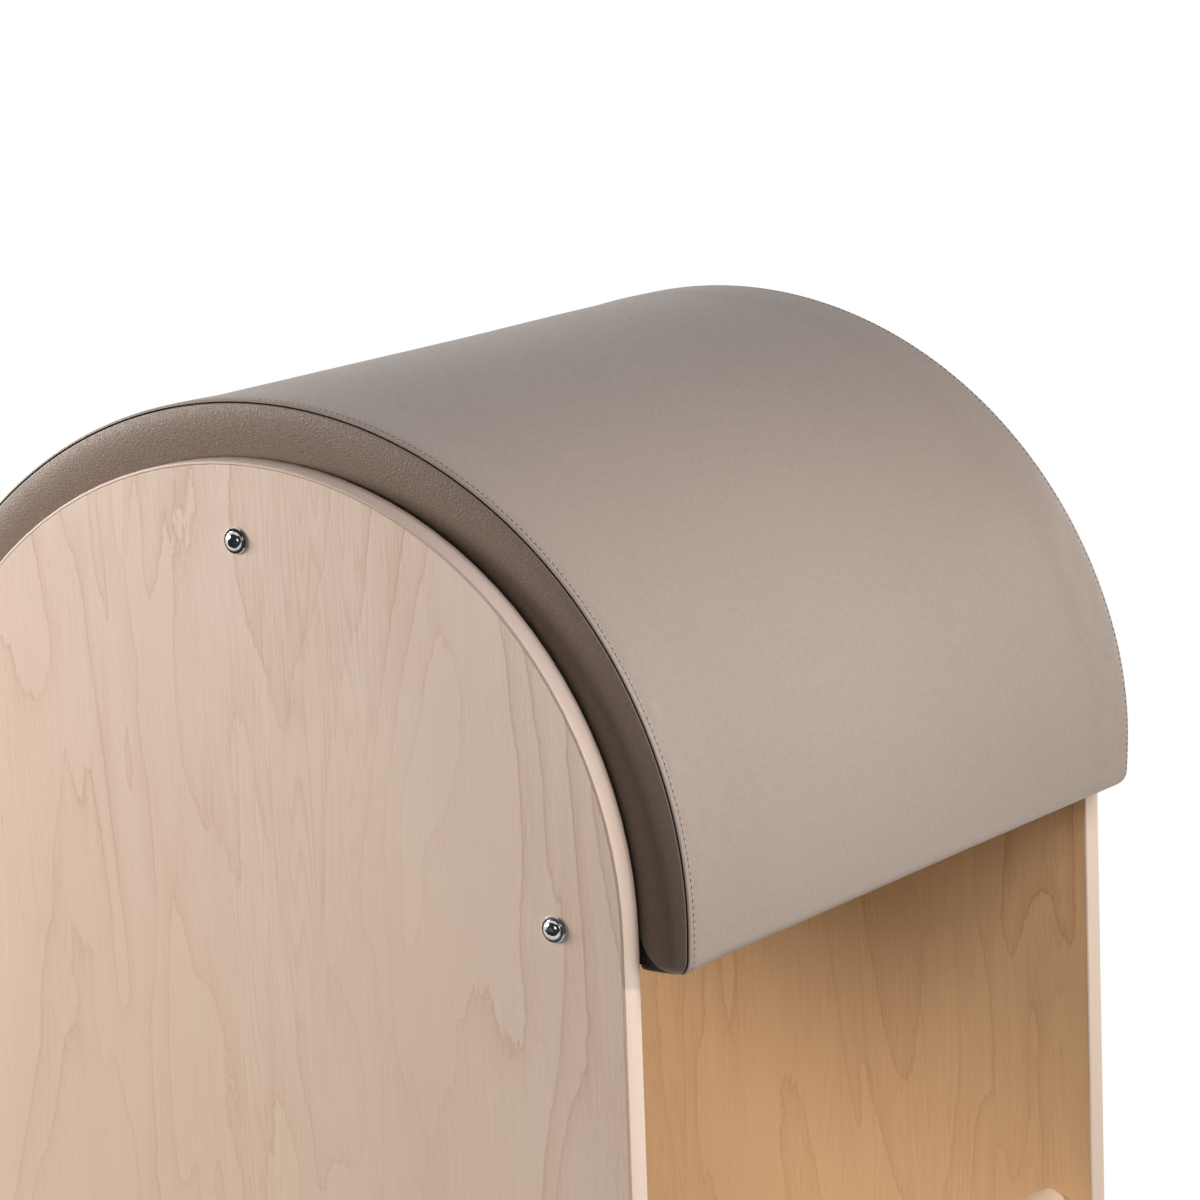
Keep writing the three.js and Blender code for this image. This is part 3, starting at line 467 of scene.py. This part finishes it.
def make_materials():
    looks = {}
    # The panels' inner faces get darker, warmer tones: painted shade and warm bounce light
    looks["panel"] = wood("maple_veneer", MAPLE_PALE, MAPLE_DARK, figure=(7.0, 2.3, 1.35), rings=12.0,
                          strength=0.7, fine=0.2, seed=(0.35, 0.2, 0.1),
                          inner=(rgb(238, 196, 149), rgb(180, 120, 74), rgb(234, 190, 142)),
                          golden=rgb(238, 207, 176), warm_low=0.38)
    looks["band"] = wood("maple_edge_band", rgb(245, 222, 204), rgb(218, 180, 150), figure=(9, 9, 2.0),
                         rings=5.0, strength=0.25, fine=0.2, seed=(2.0, 0.4, 0.6), roughness=0.52,
                         upper=(rgb(216, 195, 181), rgb(184, 150, 130)))
    solid = dict(pale=rgb(246, 224, 198), dark=rgb(204, 160, 122), figure=(16, 16, 1.3), rings=6.0,
                 strength=0.5, fine=0.3)
    looks["along_x"] = wood("maple_along_x", turn=X_GRAIN, seed=(0.5, 0.1, 0.2), **solid)
    looks["along_y"] = wood("maple_along_y", turn=Y_GRAIN, seed=(0.1, 0.7, 0.4), **solid)
    looks["upright"] = wood("maple_upright", turn=(0, UPRIGHT_LEAN, 0), seed=(0.9, 0.3, 0.6), **solid)
    looks["plywood"] = wood("birch_plywood", rgb(222, 196, 156), rgb(176, 136, 92), figure=(6, 6, 1.2),
                            rings=7.0, strength=0.5, fine=0.3, seed=(1.7, 0.9, 0.3), roughness=0.7, ply=True)
    looks["vinyl"] = vinyl("taupe_vinyl", rgb(161, 143, 130), rgb(143, 127, 115), depth=0.36, speckle=0.14)
    # The gusset is the top's vinyl in darker tones: painted shade
    looks["gusset"] = vinyl("taupe_vinyl_shaded", rgb(137, 118, 105), rgb(114, 98, 87), depth=1.0, speckle=0.5,
                            cells=600.0)
    looks["thread"] = vinyl("seam_thread", rgb(196, 183, 168), rgb(170, 156, 142), depth=0.3, speckle=0.2)
    # Near black for the seam's gap and the needle slots: painted shade
    looks["painted_seam_shade"] = plastic("painted_seam_shade", rgb(26, 22, 20), roughness=0.85, grain_scale=900.0,
                                grain_depth=0.05 * MM)
    looks["chrome"] = metal("chrome", rgb(208, 210, 213), roughness=0.07, scratches=0.06)
    looks["zinc"] = metal("zinc_steel", rgb(186, 188, 190), roughness=0.32, scratches=0.35)
    looks["knob"] = knob_plastic("knob_plastic")
    looks["rubber"] = plastic("rubber", rgb(44, 43, 42), roughness=0.8, grain_scale=700.0,
                              grain_depth=0.2 * MM)
    # Near black: the real dust cloth, and on the pad's lining strip also painted shade
    looks["lining"] = cloth("dust_cloth", rgb(22, 20, 19), threads_per_metre=1400.0)
    return looks


# CAD nodes

SMOOTH_ANGLE = math.radians(33)
MERGE_DISTANCE = 0.005 * MM
LOOK_OF_SLOT = {"maple_veneer": "panel", "maple_edge_band": "band", "plywood": "plywood", "vinyl": "vinyl",
                "foam": "plywood", "lining": "lining", "chrome": "chrome", "zinc_steel": "zinc",
                "knob_plastic": "knob", "rubber": "rubber"}


def look_for(node, slot):
    """The look of a CAD node. Solid maple goes by the way that the piece's grain runs."""
    if slot != "maple_solid":
        return LOOK_OF_SLOT[slot]
    if "upright" in node:
        return "upright"
    is_rail = "_rail" in node and "rail_" not in node
    return "along_x" if is_rail or "cleat" in node else "along_y"


def smooth_by_angle():
    """A node group that shades a faceted CAD piece smooth, except at its sharp edges."""
    tree = bpy.data.node_groups.new("smooth_by_angle", "GeometryNodeTree")
    for way in ("INPUT", "OUTPUT"):
        tree.interface.new_socket("Geometry", in_out=way, socket_type="NodeSocketGeometry")
    start, end = tree.nodes.new("NodeGroupInput"), tree.nodes.new("NodeGroupOutput")
    edge_angle = tree.nodes.new("GeometryNodeInputMeshEdgeAngle")
    below = tree.nodes.new("FunctionNodeCompare")
    below.operation = "LESS_EQUAL"
    below.inputs[1].default_value = SMOOTH_ANGLE
    faces = tree.nodes.new("GeometryNodeSetShadeSmooth")
    edges = tree.nodes.new("GeometryNodeSetShadeSmooth")
    edges.domain = "EDGE"
    merge = tree.nodes.new("GeometryNodeMergeByDistance")
    merge.inputs["Distance"].default_value = MERGE_DISTANCE
    link = tree.links.new
    link(start.outputs[0], merge.inputs["Geometry"])
    link(merge.outputs["Geometry"], faces.inputs["Geometry"])
    link(faces.outputs["Geometry"], edges.inputs["Geometry"])
    link(edge_angle.outputs[0], below.inputs[0])
    link(below.outputs[0], edges.inputs["Shade Smooth"])
    link(edges.outputs["Geometry"], end.inputs[0])
    return tree


def dress_cad_nodes(looks):
    tree = smooth_by_angle()
    slots = {row["node"]: row["material_slot"] for row in frame["record"]["subparts"]}
    for name, node in NODES.items():
        look = looks[look_for(name, slots[name])]
        for place in node.material_slots:
            place.material = look
        if not node.material_slots:
            node.data.materials.append(look)
        node.modifiers.new("smooth", "NODES").node_group = tree


# Barrel pad

SEAM_RADIUS = 0.337
PAD_END = 0.3115
OUTSIDE_ROLL = 12 * MM
INSIDE_ROLL = 34 * MM
END_ROLL = 8 * MM
END_ROLL_REACH = 60 * MM
SWELL = 0.45 * MM
ARC_STEPS = 224
ROLL_STEPS = 12
TOP_STEPS = 30

# Across the seam, from the pad's top to its gusset: (distance in from the end, height over the seam), in mm
SEAM_SECTION = [
    (60.0, 0.0), (50.0, 0.22), (40.0, 0.55), (32.0, 0.82), (25.0, 1.04), (19.0, 1.26), (14.0, 1.48),
    (10.5, 1.62), (8.2, 1.7), (6.9, 1.63), (6.2, 1.43), (5.8, 1.22), (5.4, 1.1), (5.05, 1.2), (4.7, 1.42),
    (4.2, 1.64), (3.6, 1.75), (2.9, 1.76), (2.2, 1.68), (1.6, 1.52), (1.05, 1.28), (0.65, 1.0), (0.4, 0.72),
    (0.25, 0.45), (0.2, 0.2), (0.5, 0.0), (1.1, -0.2), (1.4, -0.4), (1.0, -0.62), (0.4, -0.8), (-0.1, -0.9),
    (-0.45, -1.15), (-0.7, -1.6), (-0.85, -2.4), (-1.2, -4.2),
]
# The section's point under the stitches, and those between which lies the seam's gap, whose faces are painted
# near black as shade
STITCH_POINT = 12
GAP_POINTS = (24, 30)

# Distances from the pad's middle or in from its end over which a change comes in
TOP_FLARE_SPAN = (40 * MM, 230 * MM)
TOP_SWELL_SPAN = (-45 * MM, 60 * MM)
SEAM_SWELL_SPAN = (15 * MM, 105 * MM)
SEAM_FLARE_SPAN = (4 * MM, 40 * MM)
TIGHT_SPAN = (4 * MM, 14 * MM)
REACH_SPAN = (6 * MM, 40 * MM)
# The far end: how much higher its top stands, how much further it reaches, and what is left of its shoulder
# and of its overhang
FAR_FLARE = 1.0 * MM
FAR_REACH = 4.3 * MM
FAR_SHOULDER = 0.35
FAR_OVERHANG = 0.8

# The gusset and the lining below it, whose strip by the panel's edge is partly painted shade
GUSSET_STEPS = 14
LINING_STEPS = 4
LINING_BACK = 1.2 * MM
LEAST_LINING = 0.8 * MM
LEAST_GUSSET = 0.6 * MM
FOOT_OVER_SHELL = 0.3 * MM
FOOT_OUT = 0.3 * MM
FOOT_POWER = 1.5
BULGE_POWER = 0.75
GUSSET_BULGE = {-1: 1.0 * MM, 1: 0.7 * MM}

# The pull inwards and along near the pad's lower edges
LOW_PULL_HEIGHT = 100 * MM
LOW_PULL_IN = 1.6 * MM
LOW_PULL_ALONG = 3.0 * MM

# The simulation's coarse copy: it takes every so many stations and points across, up to the crest before the
# stitches, and runs for some frames
SIM_STATION_STEP = 4
SIM_POINT_STEP = 2
SIM_LAST_POINT = TOP_STEPS + 8
SIM_FRAMES = 20
LEAST_RISE = 1e-6
MOST_SWELL = 1.15
CLOTH_SETTINGS = {"quality": 6, "mass": 0.3, "tension_stiffness": 60, "compression_stiffness": 60,
                  "shear_stiffness": 25, "bending_stiffness": 2, "use_pressure": True,
                  "uniform_pressure_force": 4, "vertex_group_mass": "pins"}

# Material numbers of the pad's faces, in the order of the looks
PAD_LOOKS = ("vinyl", "painted_seam_shade", "lining", "gusset")
VINYL, SEAM_SHADE, LINING_AND_SHADE, SHADED_GUSSET = range(4)


def roll_in(height, radius):
    """How far a rounded edge of this radius is drawn in at a height over its lowest point."""
    if height >= radius:
        return 0.0
    down = (radius - height) / radius
    return radius * (1 - math.sqrt(max(0.0, 1 - down * down)))


def smooth_step(value, low, high):
    share = max(0.0, min(1.0, (value - low) / (high - low)))
    return share * share * (3 - 2 * share)


def pad_half_section(far):
    """Half of the pad's section as (y, radius, swelling share), from the middle of the top to below the seam.

    The far end's cover is pulled tighter over the edge, so its shoulder is shorter and it reaches further."""
    reach = PAD_END - SEAM_SECTION[0][0] * MM
    rows = []
    for i in range(TOP_STEPS):
        y = reach * i / TOP_STEPS
        flare = FAR_FLARE * smooth_step(y, *TOP_FLARE_SPAN) if far else 0.0
        rows.append((y, SEAM_RADIUS + flare, smooth_step(reach - y, *TOP_SWELL_SPAN)))
    for inward, rise in SEAM_SECTION:
        inward *= MM
        swell = smooth_step(inward, *SEAM_SWELL_SPAN)
        flare = 0.0
        if far:
            flare = FAR_FLARE * smooth_step(inward, *SEAM_FLARE_SPAN)
            shoulder = FAR_SHOULDER + (1 - FAR_SHOULDER) * smooth_step(inward, *TIGHT_SPAN)
            outwards = FAR_REACH * (1 - smooth_step(inward, *REACH_SPAN))
            inward = inward * (shoulder if inward > 0 else FAR_OVERHANG) - outwards
        rows.append((PAD_END - inward, SEAM_RADIUS + rise * MM + flare, swell))
    return rows


def gusset_rows(edge, top, height, bulge):
    """The pad's end below its seam, as (y, radius): the gusset, then the black lining, set back a little. The
    lining is partly the real dust cloth and partly painted shade in the gap by the panel's edge.
    """
    foot = SHELL_RADIUS + FOOT_OVER_SHELL
    seam = min(foot + max(LEAST_LINING, roll_in(height, INSIDE_ROLL)), top - LEAST_GUSSET)

    def place(radius, back):
        share = (top - radius) / (top - foot)
        out = edge + (PAD_END + FOOT_OUT - edge) * share ** FOOT_POWER
        return out + bulge * math.sin(math.pi * share ** BULGE_POWER) - back, radius

    gusset = [place(top + (seam - top) * i / GUSSET_STEPS, 0.0) for i in range(1, GUSSET_STEPS + 1)]
    lining = [place(seam + (foot - seam) * i / LINING_STEPS, LINING_BACK) for i in range(1, LINING_STEPS + 1)]
    return gusset + lining


def pad_stations():
    """(z of the centre, direction outwards as x and z, height over the pad's bottom) along the arch."""
    drop = ARCH_Z - PAD_BOTTOM
    heights = [drop * (1 - math.cos(math.pi / 2 * i / ROLL_STEPS)) for i in range(ROLL_STEPS)]
    rows = [(PAD_BOTTOM + h, (1.0, 0.0), h) for h in heights]
    for i in range(ARC_STEPS + 1):
        angle = math.pi * i / ARC_STEPS
        rows.append((ARCH_Z, (math.cos(angle), math.sin(angle)), drop))
    rows += [(PAD_BOTTOM + h, (-1.0, 0.0), h) for h in reversed(heights)]
    return rows


def grid_face(wide, row, first, second, base=0):
    """The face between two points of a row of points, this wide, and the same two of the next row."""
    start = base + row * wide
    return start + first, start + second, start + wide + second, start + wide + first


def new_piece(name, points, faces, materials=(), kinds=None):
    """A mesh object in the scene, with a material number for each face where kinds are given."""
    mesh = bpy.data.meshes.new(name)
    mesh.from_pydata(points, [], faces)
    for material in materials:
        mesh.materials.append(material)
    if kinds:
        mesh.polygons.foreach_set("material_index", kinds)
        mesh.polygons.foreach_set("use_smooth", [True] * len(faces))
    mesh.update()
    piece = bpy.data.objects.new(name, mesh)
    bpy.context.collection.objects.link(piece)
    return piece


def inflate(points, faces, pins):
    """Where the points of a cloth lie after its frames under pressure."""
    sim = new_piece("pad_sim", points, faces)
    if sim.data.polygons[len(faces) // 2].normal.z < 0:
        sim.data.flip_normals()
    sim.vertex_groups.new(name="pins").add(pins, 1.0, "REPLACE")
    modifier = sim.modifiers.new("cloth", "CLOTH")
    for key, value in CLOTH_SETTINGS.items():
        setattr(modifier.settings, key, value)
    modifier.settings.effector_weights.gravity = 0
    modifier.point_cache.frame_start = 1
    modifier.point_cache.frame_end = SIM_FRAMES
    scene = bpy.context.scene
    for frame_number in range(1, SIM_FRAMES + 1):
        scene.frame_set(frame_number)
    moved = sim.evaluated_get(bpy.context.evaluated_depsgraph_get()).to_mesh()
    places = np.array([vertex.co for vertex in moved.vertices])
    scene.frame_set(1)
    mesh = sim.data
    bpy.data.objects.remove(sim)
    bpy.data.meshes.remove(mesh)
    return places


def swelling(stations, half):
    """How far the filled cover stands out between its seams, by a cloth simulation of a coarse copy."""
    plain = np.tile([SWELL * row[2] for row in half], (len(stations), 1))
    last_station = len(stations) - 1
    rows = list(range(0, last_station, SIM_STATION_STEP)) + [last_station]
    columns = list(range(0, SIM_LAST_POINT, SIM_POINT_STEP)) + [SIM_LAST_POINT]
    across = [-number for number in reversed(columns[1:])] + columns
    wide = len(across)
    points, pins = [], []
    for row, station in enumerate(rows):
        centre, out, height = stations[station]
        edge = roll_in(height, OUTSIDE_ROLL)
        for column, number in enumerate(across):
            y, radius, _ = half[abs(number)]
            radius -= edge
            side_y = math.copysign(y, number) if number else 0.0
            points.append((BARREL_X + out[0] * radius, side_y, centre + out[1] * radius))
            if row in (0, len(rows) - 1) or column in (0, wide - 1):
                pins.append(row * wide + column)
    faces = [grid_face(wide, row, column, column + 1)
             for row in range(len(rows) - 1) for column in range(wide - 1)]
    moved = inflate(points, faces, pins) - np.array(points)
    outward = np.array([(stations[i][1][0], 0.0, stations[i][1][1]) for i in rows]).repeat(wide, axis=0)
    rise = (moved * outward).sum(1).reshape(len(rows), wide)
    largest = np.abs(rise).max()
    if not np.isfinite(largest) or largest < LEAST_RISE:
        return plain
    middle = rise[len(rows) // 4:-len(rows) // 4, wide // 3:-wide // 3]
    rise = np.clip(rise / np.median(middle), 0, MOST_SWELL) * SWELL

    # Back to the fine sections: by station, then across the top
    fine = np.empty((len(stations), wide))
    for column in range(wide):
        fine[:, column] = np.interp(range(len(stations)), rows, rise[:, column])
    result = np.zeros((len(stations), len(half)))
    zero = len(columns) - 1
    for j in range(SIM_LAST_POINT + 1):
        result[:, j] = [np.interp(j, columns, fine[i, zero:]) for i in range(len(stations))]
    return result


def pad_points(stations, side, halves):
    """The pad's points, one closed section at each station. side lists a section's (end, row) pairs."""
    swell = swelling(stations, halves[-1])
    points = []
    for i, (centre, out, height) in enumerate(stations):
        above = centre + out[1] * SEAM_RADIUS - ARCH_Z
        low = max(0.0, 1 - above / LOW_PULL_HEIGHT) ** 2
        edge = roll_in(height, OUTSIDE_ROLL) + LOW_PULL_IN * low
        ends = roll_in(height, END_ROLL)
        rows = {}
        for sign, rest in halves.items():
            rows[sign] = [(y, radius + swell[i, j] - edge) for j, (y, radius, _) in enumerate(rest)]
            rows[sign] += gusset_rows(*rows[sign][-1], height, GUSSET_BULGE[sign])
        for sign, j in side:
            y, radius = rows[sign][j]
            along = ends + (LOW_PULL_ALONG * low if sign > 0 else 0.0)
            y -= along * smooth_step(y, PAD_END - END_ROLL_REACH, PAD_END)
            points.append((BARREL_X + out[0] * radius, sign * y, centre + out[1] * radius))
    return points


def pad_faces(station_count, side, half_count):
    """The pad's faces with their material numbers: a skin between the sections, and a cap at each end."""
    wide = len(side)
    # Faces in the seam's gap get the near black painted shade
    gap = range(TOP_STEPS + GAP_POINTS[0], TOP_STEPS + GAP_POINTS[1])
    faces, kinds = [], []
    for i in range(station_count - 1):
        for here in range(wide):
            beside = (here + 1) % wide
            faces.append(grid_face(wide, i, here, beside))
            row = min(side[here][1], side[beside][1])
            # The lining below the gusset: real dust cloth, and partly painted shade
            if beside == 0 or row >= half_count - 1 + GUSSET_STEPS:
                kinds.append(LINING_AND_SHADE)
            elif row in gap:
                kinds.append(SEAM_SHADE)
            else:
                kinds.append(SHADED_GUSSET if row > gap[-1] else VINYL)
    last = (station_count - 1) * wide
    faces.append(tuple(reversed(range(wide))))
    faces.append(tuple(range(last, last + wide)))
    kinds += [LINING_AND_SHADE, LINING_AND_SHADE]
    return faces, kinds


def make_pad(looks):
    halves = {sign: pad_half_section(sign > 0) for sign in (-1, 1)}
    half_count = len(halves[-1])
    count = half_count + GUSSET_STEPS + LINING_STEPS
    side = [(-1, j) for j in range(count - 1, 0, -1)] + [(1, j) for j in range(count)]
    stations = pad_stations()
    points = pad_points(stations, side, halves)
    faces, kinds = pad_faces(len(stations), side, half_count)
    pad = new_piece("barrel_pad", points, faces, [looks[name] for name in PAD_LOOKS], kinds)
    outward_face(pad)
    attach(pad, "barrel")
    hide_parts("barrel_cover", "barrel_foam")

    grid = np.array(points).reshape(len(stations), len(side), 3)
    outward = np.array([(out[0], 0.0, out[1]) for _, out, _ in stations])
    for name, sign in (("right", -1), ("left", 1)):
        path = grid[:, side.index((sign, TOP_STEPS + STITCH_POINT))]
        make_stitches(f"{name}_pad_stitches", path, outward, -sign, looks["thread"], looks["painted_seam_shade"])


def outward_face(piece):
    """Turns a closed piece's faces outwards."""
    mesh = bmesh.new()
    mesh.from_mesh(piece.data)
    bmesh.ops.recalc_face_normals(mesh, faces=mesh.faces)
    mesh.to_mesh(piece.data)
    mesh.free()


# Stitches

STITCH_PITCH = 4.6 * MM
STITCH_LENGTH = 3.5 * MM
STITCH_SLANT = 0.3 * MM
STITCH_START = 4 * MM
THREAD_RADIUS = 0.58 * MM
THREAD_ASIDE = 0.3 * MM
THREAD_LIFT = 0.25
THREAD_SIDES = 8
# Rings of one stitch: share of its length, how far it sinks and how thick it is, in thread radii
THREAD_RINGS = [(-0.5, 1.5, 0.35), (-0.36, 0.35, 0.85), (-0.15, 0.0, 1.0), (0.15, 0.0, 1.0),
                (0.36, 0.35, 0.85), (0.5, 1.5, 0.35)]
# Needle slots: half their length, half their width, and the height that their rings' lift counts in
HOLE_SIZE = (1.6 * MM, 0.62 * MM, 0.3 * MM)
HOLE_ASIDE = 0.28 * MM
HOLE_SLANT = 0.45 * MM
HOLE_SIDES = 10
# Rings of one needle slot: lift and size
HOLE_RINGS = ((-3, 0.9), (0.5, 1.0), (1.2, 0.75))


def walk(path, outward, pitch):
    """Even distances along a path, about a pitch apart, and a function from a distance to the point there and
    its direction outwards."""
    steps = np.linalg.norm(np.diff(path, axis=0), axis=1)
    along = np.concatenate([[0], np.cumsum(steps)])
    keep = [k for k in range(len(path)) if path[k][2] > PAD_BOTTOM + STITCH_START]
    first, last = along[keep[0]], along[keep[-1]]
    number = int((last - first) / pitch)

    def at(distance):
        point = np.array([np.interp(distance, along, path[:, axis]) for axis in range(3)])
        out = np.array([np.interp(distance, along, outward[:, axis]) for axis in range(3)])
        return point, out / np.linalg.norm(out)

    return [first + k * (last - first) / number for k in range(number + 1)], at


def tube(points, faces, rings, sides):
    """Adds a closed tube over rings of (centre, first radius vector, second radius vector)."""
    base = len(points)
    for centre, first, second in rings:
        for turn in range(sides):
            angle = 2 * math.pi * turn / sides
            points.append(tuple(centre + math.cos(angle) * first + math.sin(angle) * second))
    for ring in range(len(rings) - 1):
        for turn in range(sides):
            faces.append(grid_face(sides, ring, turn, (turn + 1) % sides, base))
    last = base + (len(rings) - 1) * sides
    faces.append(tuple(base + turn for turn in reversed(range(sides))))
    faces.append(tuple(last + turn for turn in range(sides)))


def make_stitches(name, path, outward, inboard, thread, hole_shade):
    """Short slanted threads along a path, with a needle slot on the seam's side of each joint, painted near
    black as shade.
    """
    places, at = walk(path, outward, STITCH_PITCH)
    points, faces = [], []
    across = np.array([0.0, inboard, 0.0])
    for start, end in zip(places, places[1:]):
        rings = []
        for share, sink, thick in THREAD_RINGS:
            centre, out = at((start + end) / 2 + share * STITCH_LENGTH)
            aside = THREAD_ASIDE + share * 2 * STITCH_SLANT
            centre = centre + out * (THREAD_LIFT - sink) * THREAD_RADIUS + across * aside
            rings.append((centre, across * THREAD_RADIUS * thick, out * THREAD_RADIUS * thick))
        tube(points, faces, rings, THREAD_SIDES)
    threads = len(faces)
    half_length, half_width, step = HOLE_SIZE
    for place in places:
        ahead, out = at(place + half_length)
        behind, _ = at(place - half_length)
        along = (ahead - behind) / 2 + across * HOLE_SLANT
        middle = (ahead + behind) / 2 - across * HOLE_ASIDE
        rings = [(middle + out * lift * step, along * size, across * half_width * size)
                 for lift, size in HOLE_RINGS]
        tube(points, faces, rings, HOLE_SIDES)
    kinds = [0] * threads + [1] * (len(faces) - threads)
    stitches = new_piece(name, points, faces, [thread, hole_shade], kinds)
    outward_face(stitches)
    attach(stitches, "barrel")


# Stage and light

# A faint warm fill from all round
FILL_COLOR = (1.0, 0.97, 0.94, 1)
FILL_STRENGTH = 0.02
# The floor: its size, its tone, and the distances from the middle between which it turns into the backdrop,
# with the share of the backdrop at each
FLOOR_RADIUS = 6
FLOOR_SIDES = 96
FLOOR_COLOR = (0.55, 0.53, 0.5, 1)
FLOOR_FADE = (0.6, 1.0, 0.62, 1.0)
# Lamps: place, the point that they face, width and height, power in watts, colour
BARREL_AIM = (0.2, -0.25, 0.68)
LAMPS = {
    "key": ((-1.5, -1.55, 1.38), BARREL_AIM, (0.8, 0.8), 46.5, (1.0, 0.94, 0.9)),
    "right": ((1.2, -2.2, 1.2), BARREL_AIM, (0.8, 0.8), 3.2, (0.9, 1.0, 1.0)),
    "left": ((-2.2, -0.9, 1.25), BARREL_AIM, (1.0, 1.0), 17, (0.94, 0.99, 0.96)),
    "side": ((1.4, -0.18, 1.28), (0.45, -0.15, 0.75), (0.22, 0.6), 10.2, (0.95, 0.95, 1.0)),
    "back": ((0.3, 2.7, 0.8), (0.1, 0.3, 0.5), (1.6, 1.0), 26, (1.0, 0.97, 0.94)),
    "low": ((2.2, 0.26, 0.6), (0.4, 0.1, 0.45), (0.5, 0.8), 8.3, (1.0, 1.0, 0.9)),
}
# Cards that only reflections show, by their corners
CARD_TONE = 0.04
CARD_LEFT, CARD_RIGHT, CARD_FRONT = -2.4, 2.6, -2.4
CARD_FOOT, CARD_TOP = 0.02, 4.5
FLOOR_CARD_BACK, FLOOR_CARD_HEIGHT = -0.85, 0.01
SIDE_CARD_BACK = 0.6


def area_light(name, place, target, size, power, color):
    data = bpy.data.lights.new(name, "AREA")
    data.shape = "RECTANGLE"
    data.size, data.size_y = size
    data.energy = power
    data.color = color
    light = bpy.data.objects.new(name, data)
    light.location = place
    light.rotation_mode = "QUATERNION"
    light.rotation_quaternion = (Vector(target) - Vector(place)).to_track_quat("-Z", "Y")
    light.visible_camera = False
    bpy.context.collection.objects.link(light)


def seen_directly(g):
    """1 for rays from the camera, in a reflection or through glass, 0 for those that carry light."""
    path = g.add("LightPath").outputs
    seen = g.math("MAXIMUM", path["Is Camera Ray"], path["Is Glossy Ray"])
    return g.math("MAXIMUM", seen, path["Is Transmission Ray"])


def make_world():
    """A faint fill, which rays that see it directly find white."""
    g = Graph("studio", world=True)
    fill = g.add("Background", {"Color": FILL_COLOR, "Strength": FILL_STRENGTH}).outputs[0]
    white = g.add("Background", {"Color": WHITE, "Strength": 1.0}).outputs[0]
    mix = g.add("MixShader", {0: seen_directly(g), 1: fill, 2: white})
    bpy.context.scene.world = g.finish(mix.outputs[0])


def make_floor():
    """A pale floor that keeps the shadow near the object and turns into the white backdrop further out."""
    g = Graph("floor")
    share = g.times(seen_directly(g), g.span(g.length(g.point()), *FLOOR_FADE))
    paint = g.add("BsdfDiffuse", {"Color": FLOOR_COLOR}).outputs[0]
    white = g.add("Emission", {"Color": WHITE, "Strength": 1.0}).outputs[0]
    mix = g.add("MixShader", {0: share, 1: paint, 2: white})
    angles = [2 * math.pi * i / FLOOR_SIDES for i in range(FLOOR_SIDES)]
    ring = [(FLOOR_RADIUS * math.cos(angle), FLOOR_RADIUS * math.sin(angle), 0.0) for angle in angles]
    floor = new_piece("floor", ring, [tuple(range(FLOOR_SIDES))], [g.finish(mix.outputs[0])])


def make_card(name, corners):
    """A dark card in the studio that only reflections show."""
    g = Graph(name)
    paint = g.add("Emission", {"Color": (CARD_TONE, CARD_TONE, CARD_TONE, 1), "Strength": 1.0}).outputs[0]
    card = new_piece(name, corners, [(0, 1, 2, 3)], [g.finish(paint)])
    for ray in ("camera", "diffuse", "shadow", "transmission"):
        setattr(card, "visible_" + ray, False)


def make_lights():
    for name, settings in LAMPS.items():
        area_light(name, *settings)
    make_card("dark_floor", [(x, y, FLOOR_CARD_HEIGHT) for x, y in (
        (CARD_LEFT, CARD_FRONT), (CARD_RIGHT, CARD_FRONT),
        (CARD_RIGHT, FLOOR_CARD_BACK), (CARD_LEFT, FLOOR_CARD_BACK))])
    make_card("dark_front", [(x, CARD_FRONT, z) for x, z in (
        (CARD_LEFT, CARD_FOOT), (CARD_RIGHT, CARD_FOOT), (CARD_RIGHT, CARD_TOP), (CARD_LEFT, CARD_TOP))])
    make_card("dark_right", [(CARD_RIGHT, y, z) for y, z in (
        (CARD_FRONT, CARD_FOOT), (SIDE_CARD_BACK, CARD_FOOT),
        (SIDE_CARD_BACK, CARD_TOP), (CARD_FRONT, CARD_TOP))])


bpy.context.scene.view_settings.view_transform = "Standard"
make_camera()
make_world()
make_floor()
make_lights()
LOOKS = make_materials()
dress_cad_nodes(LOOKS)
make_pad(LOOKS)
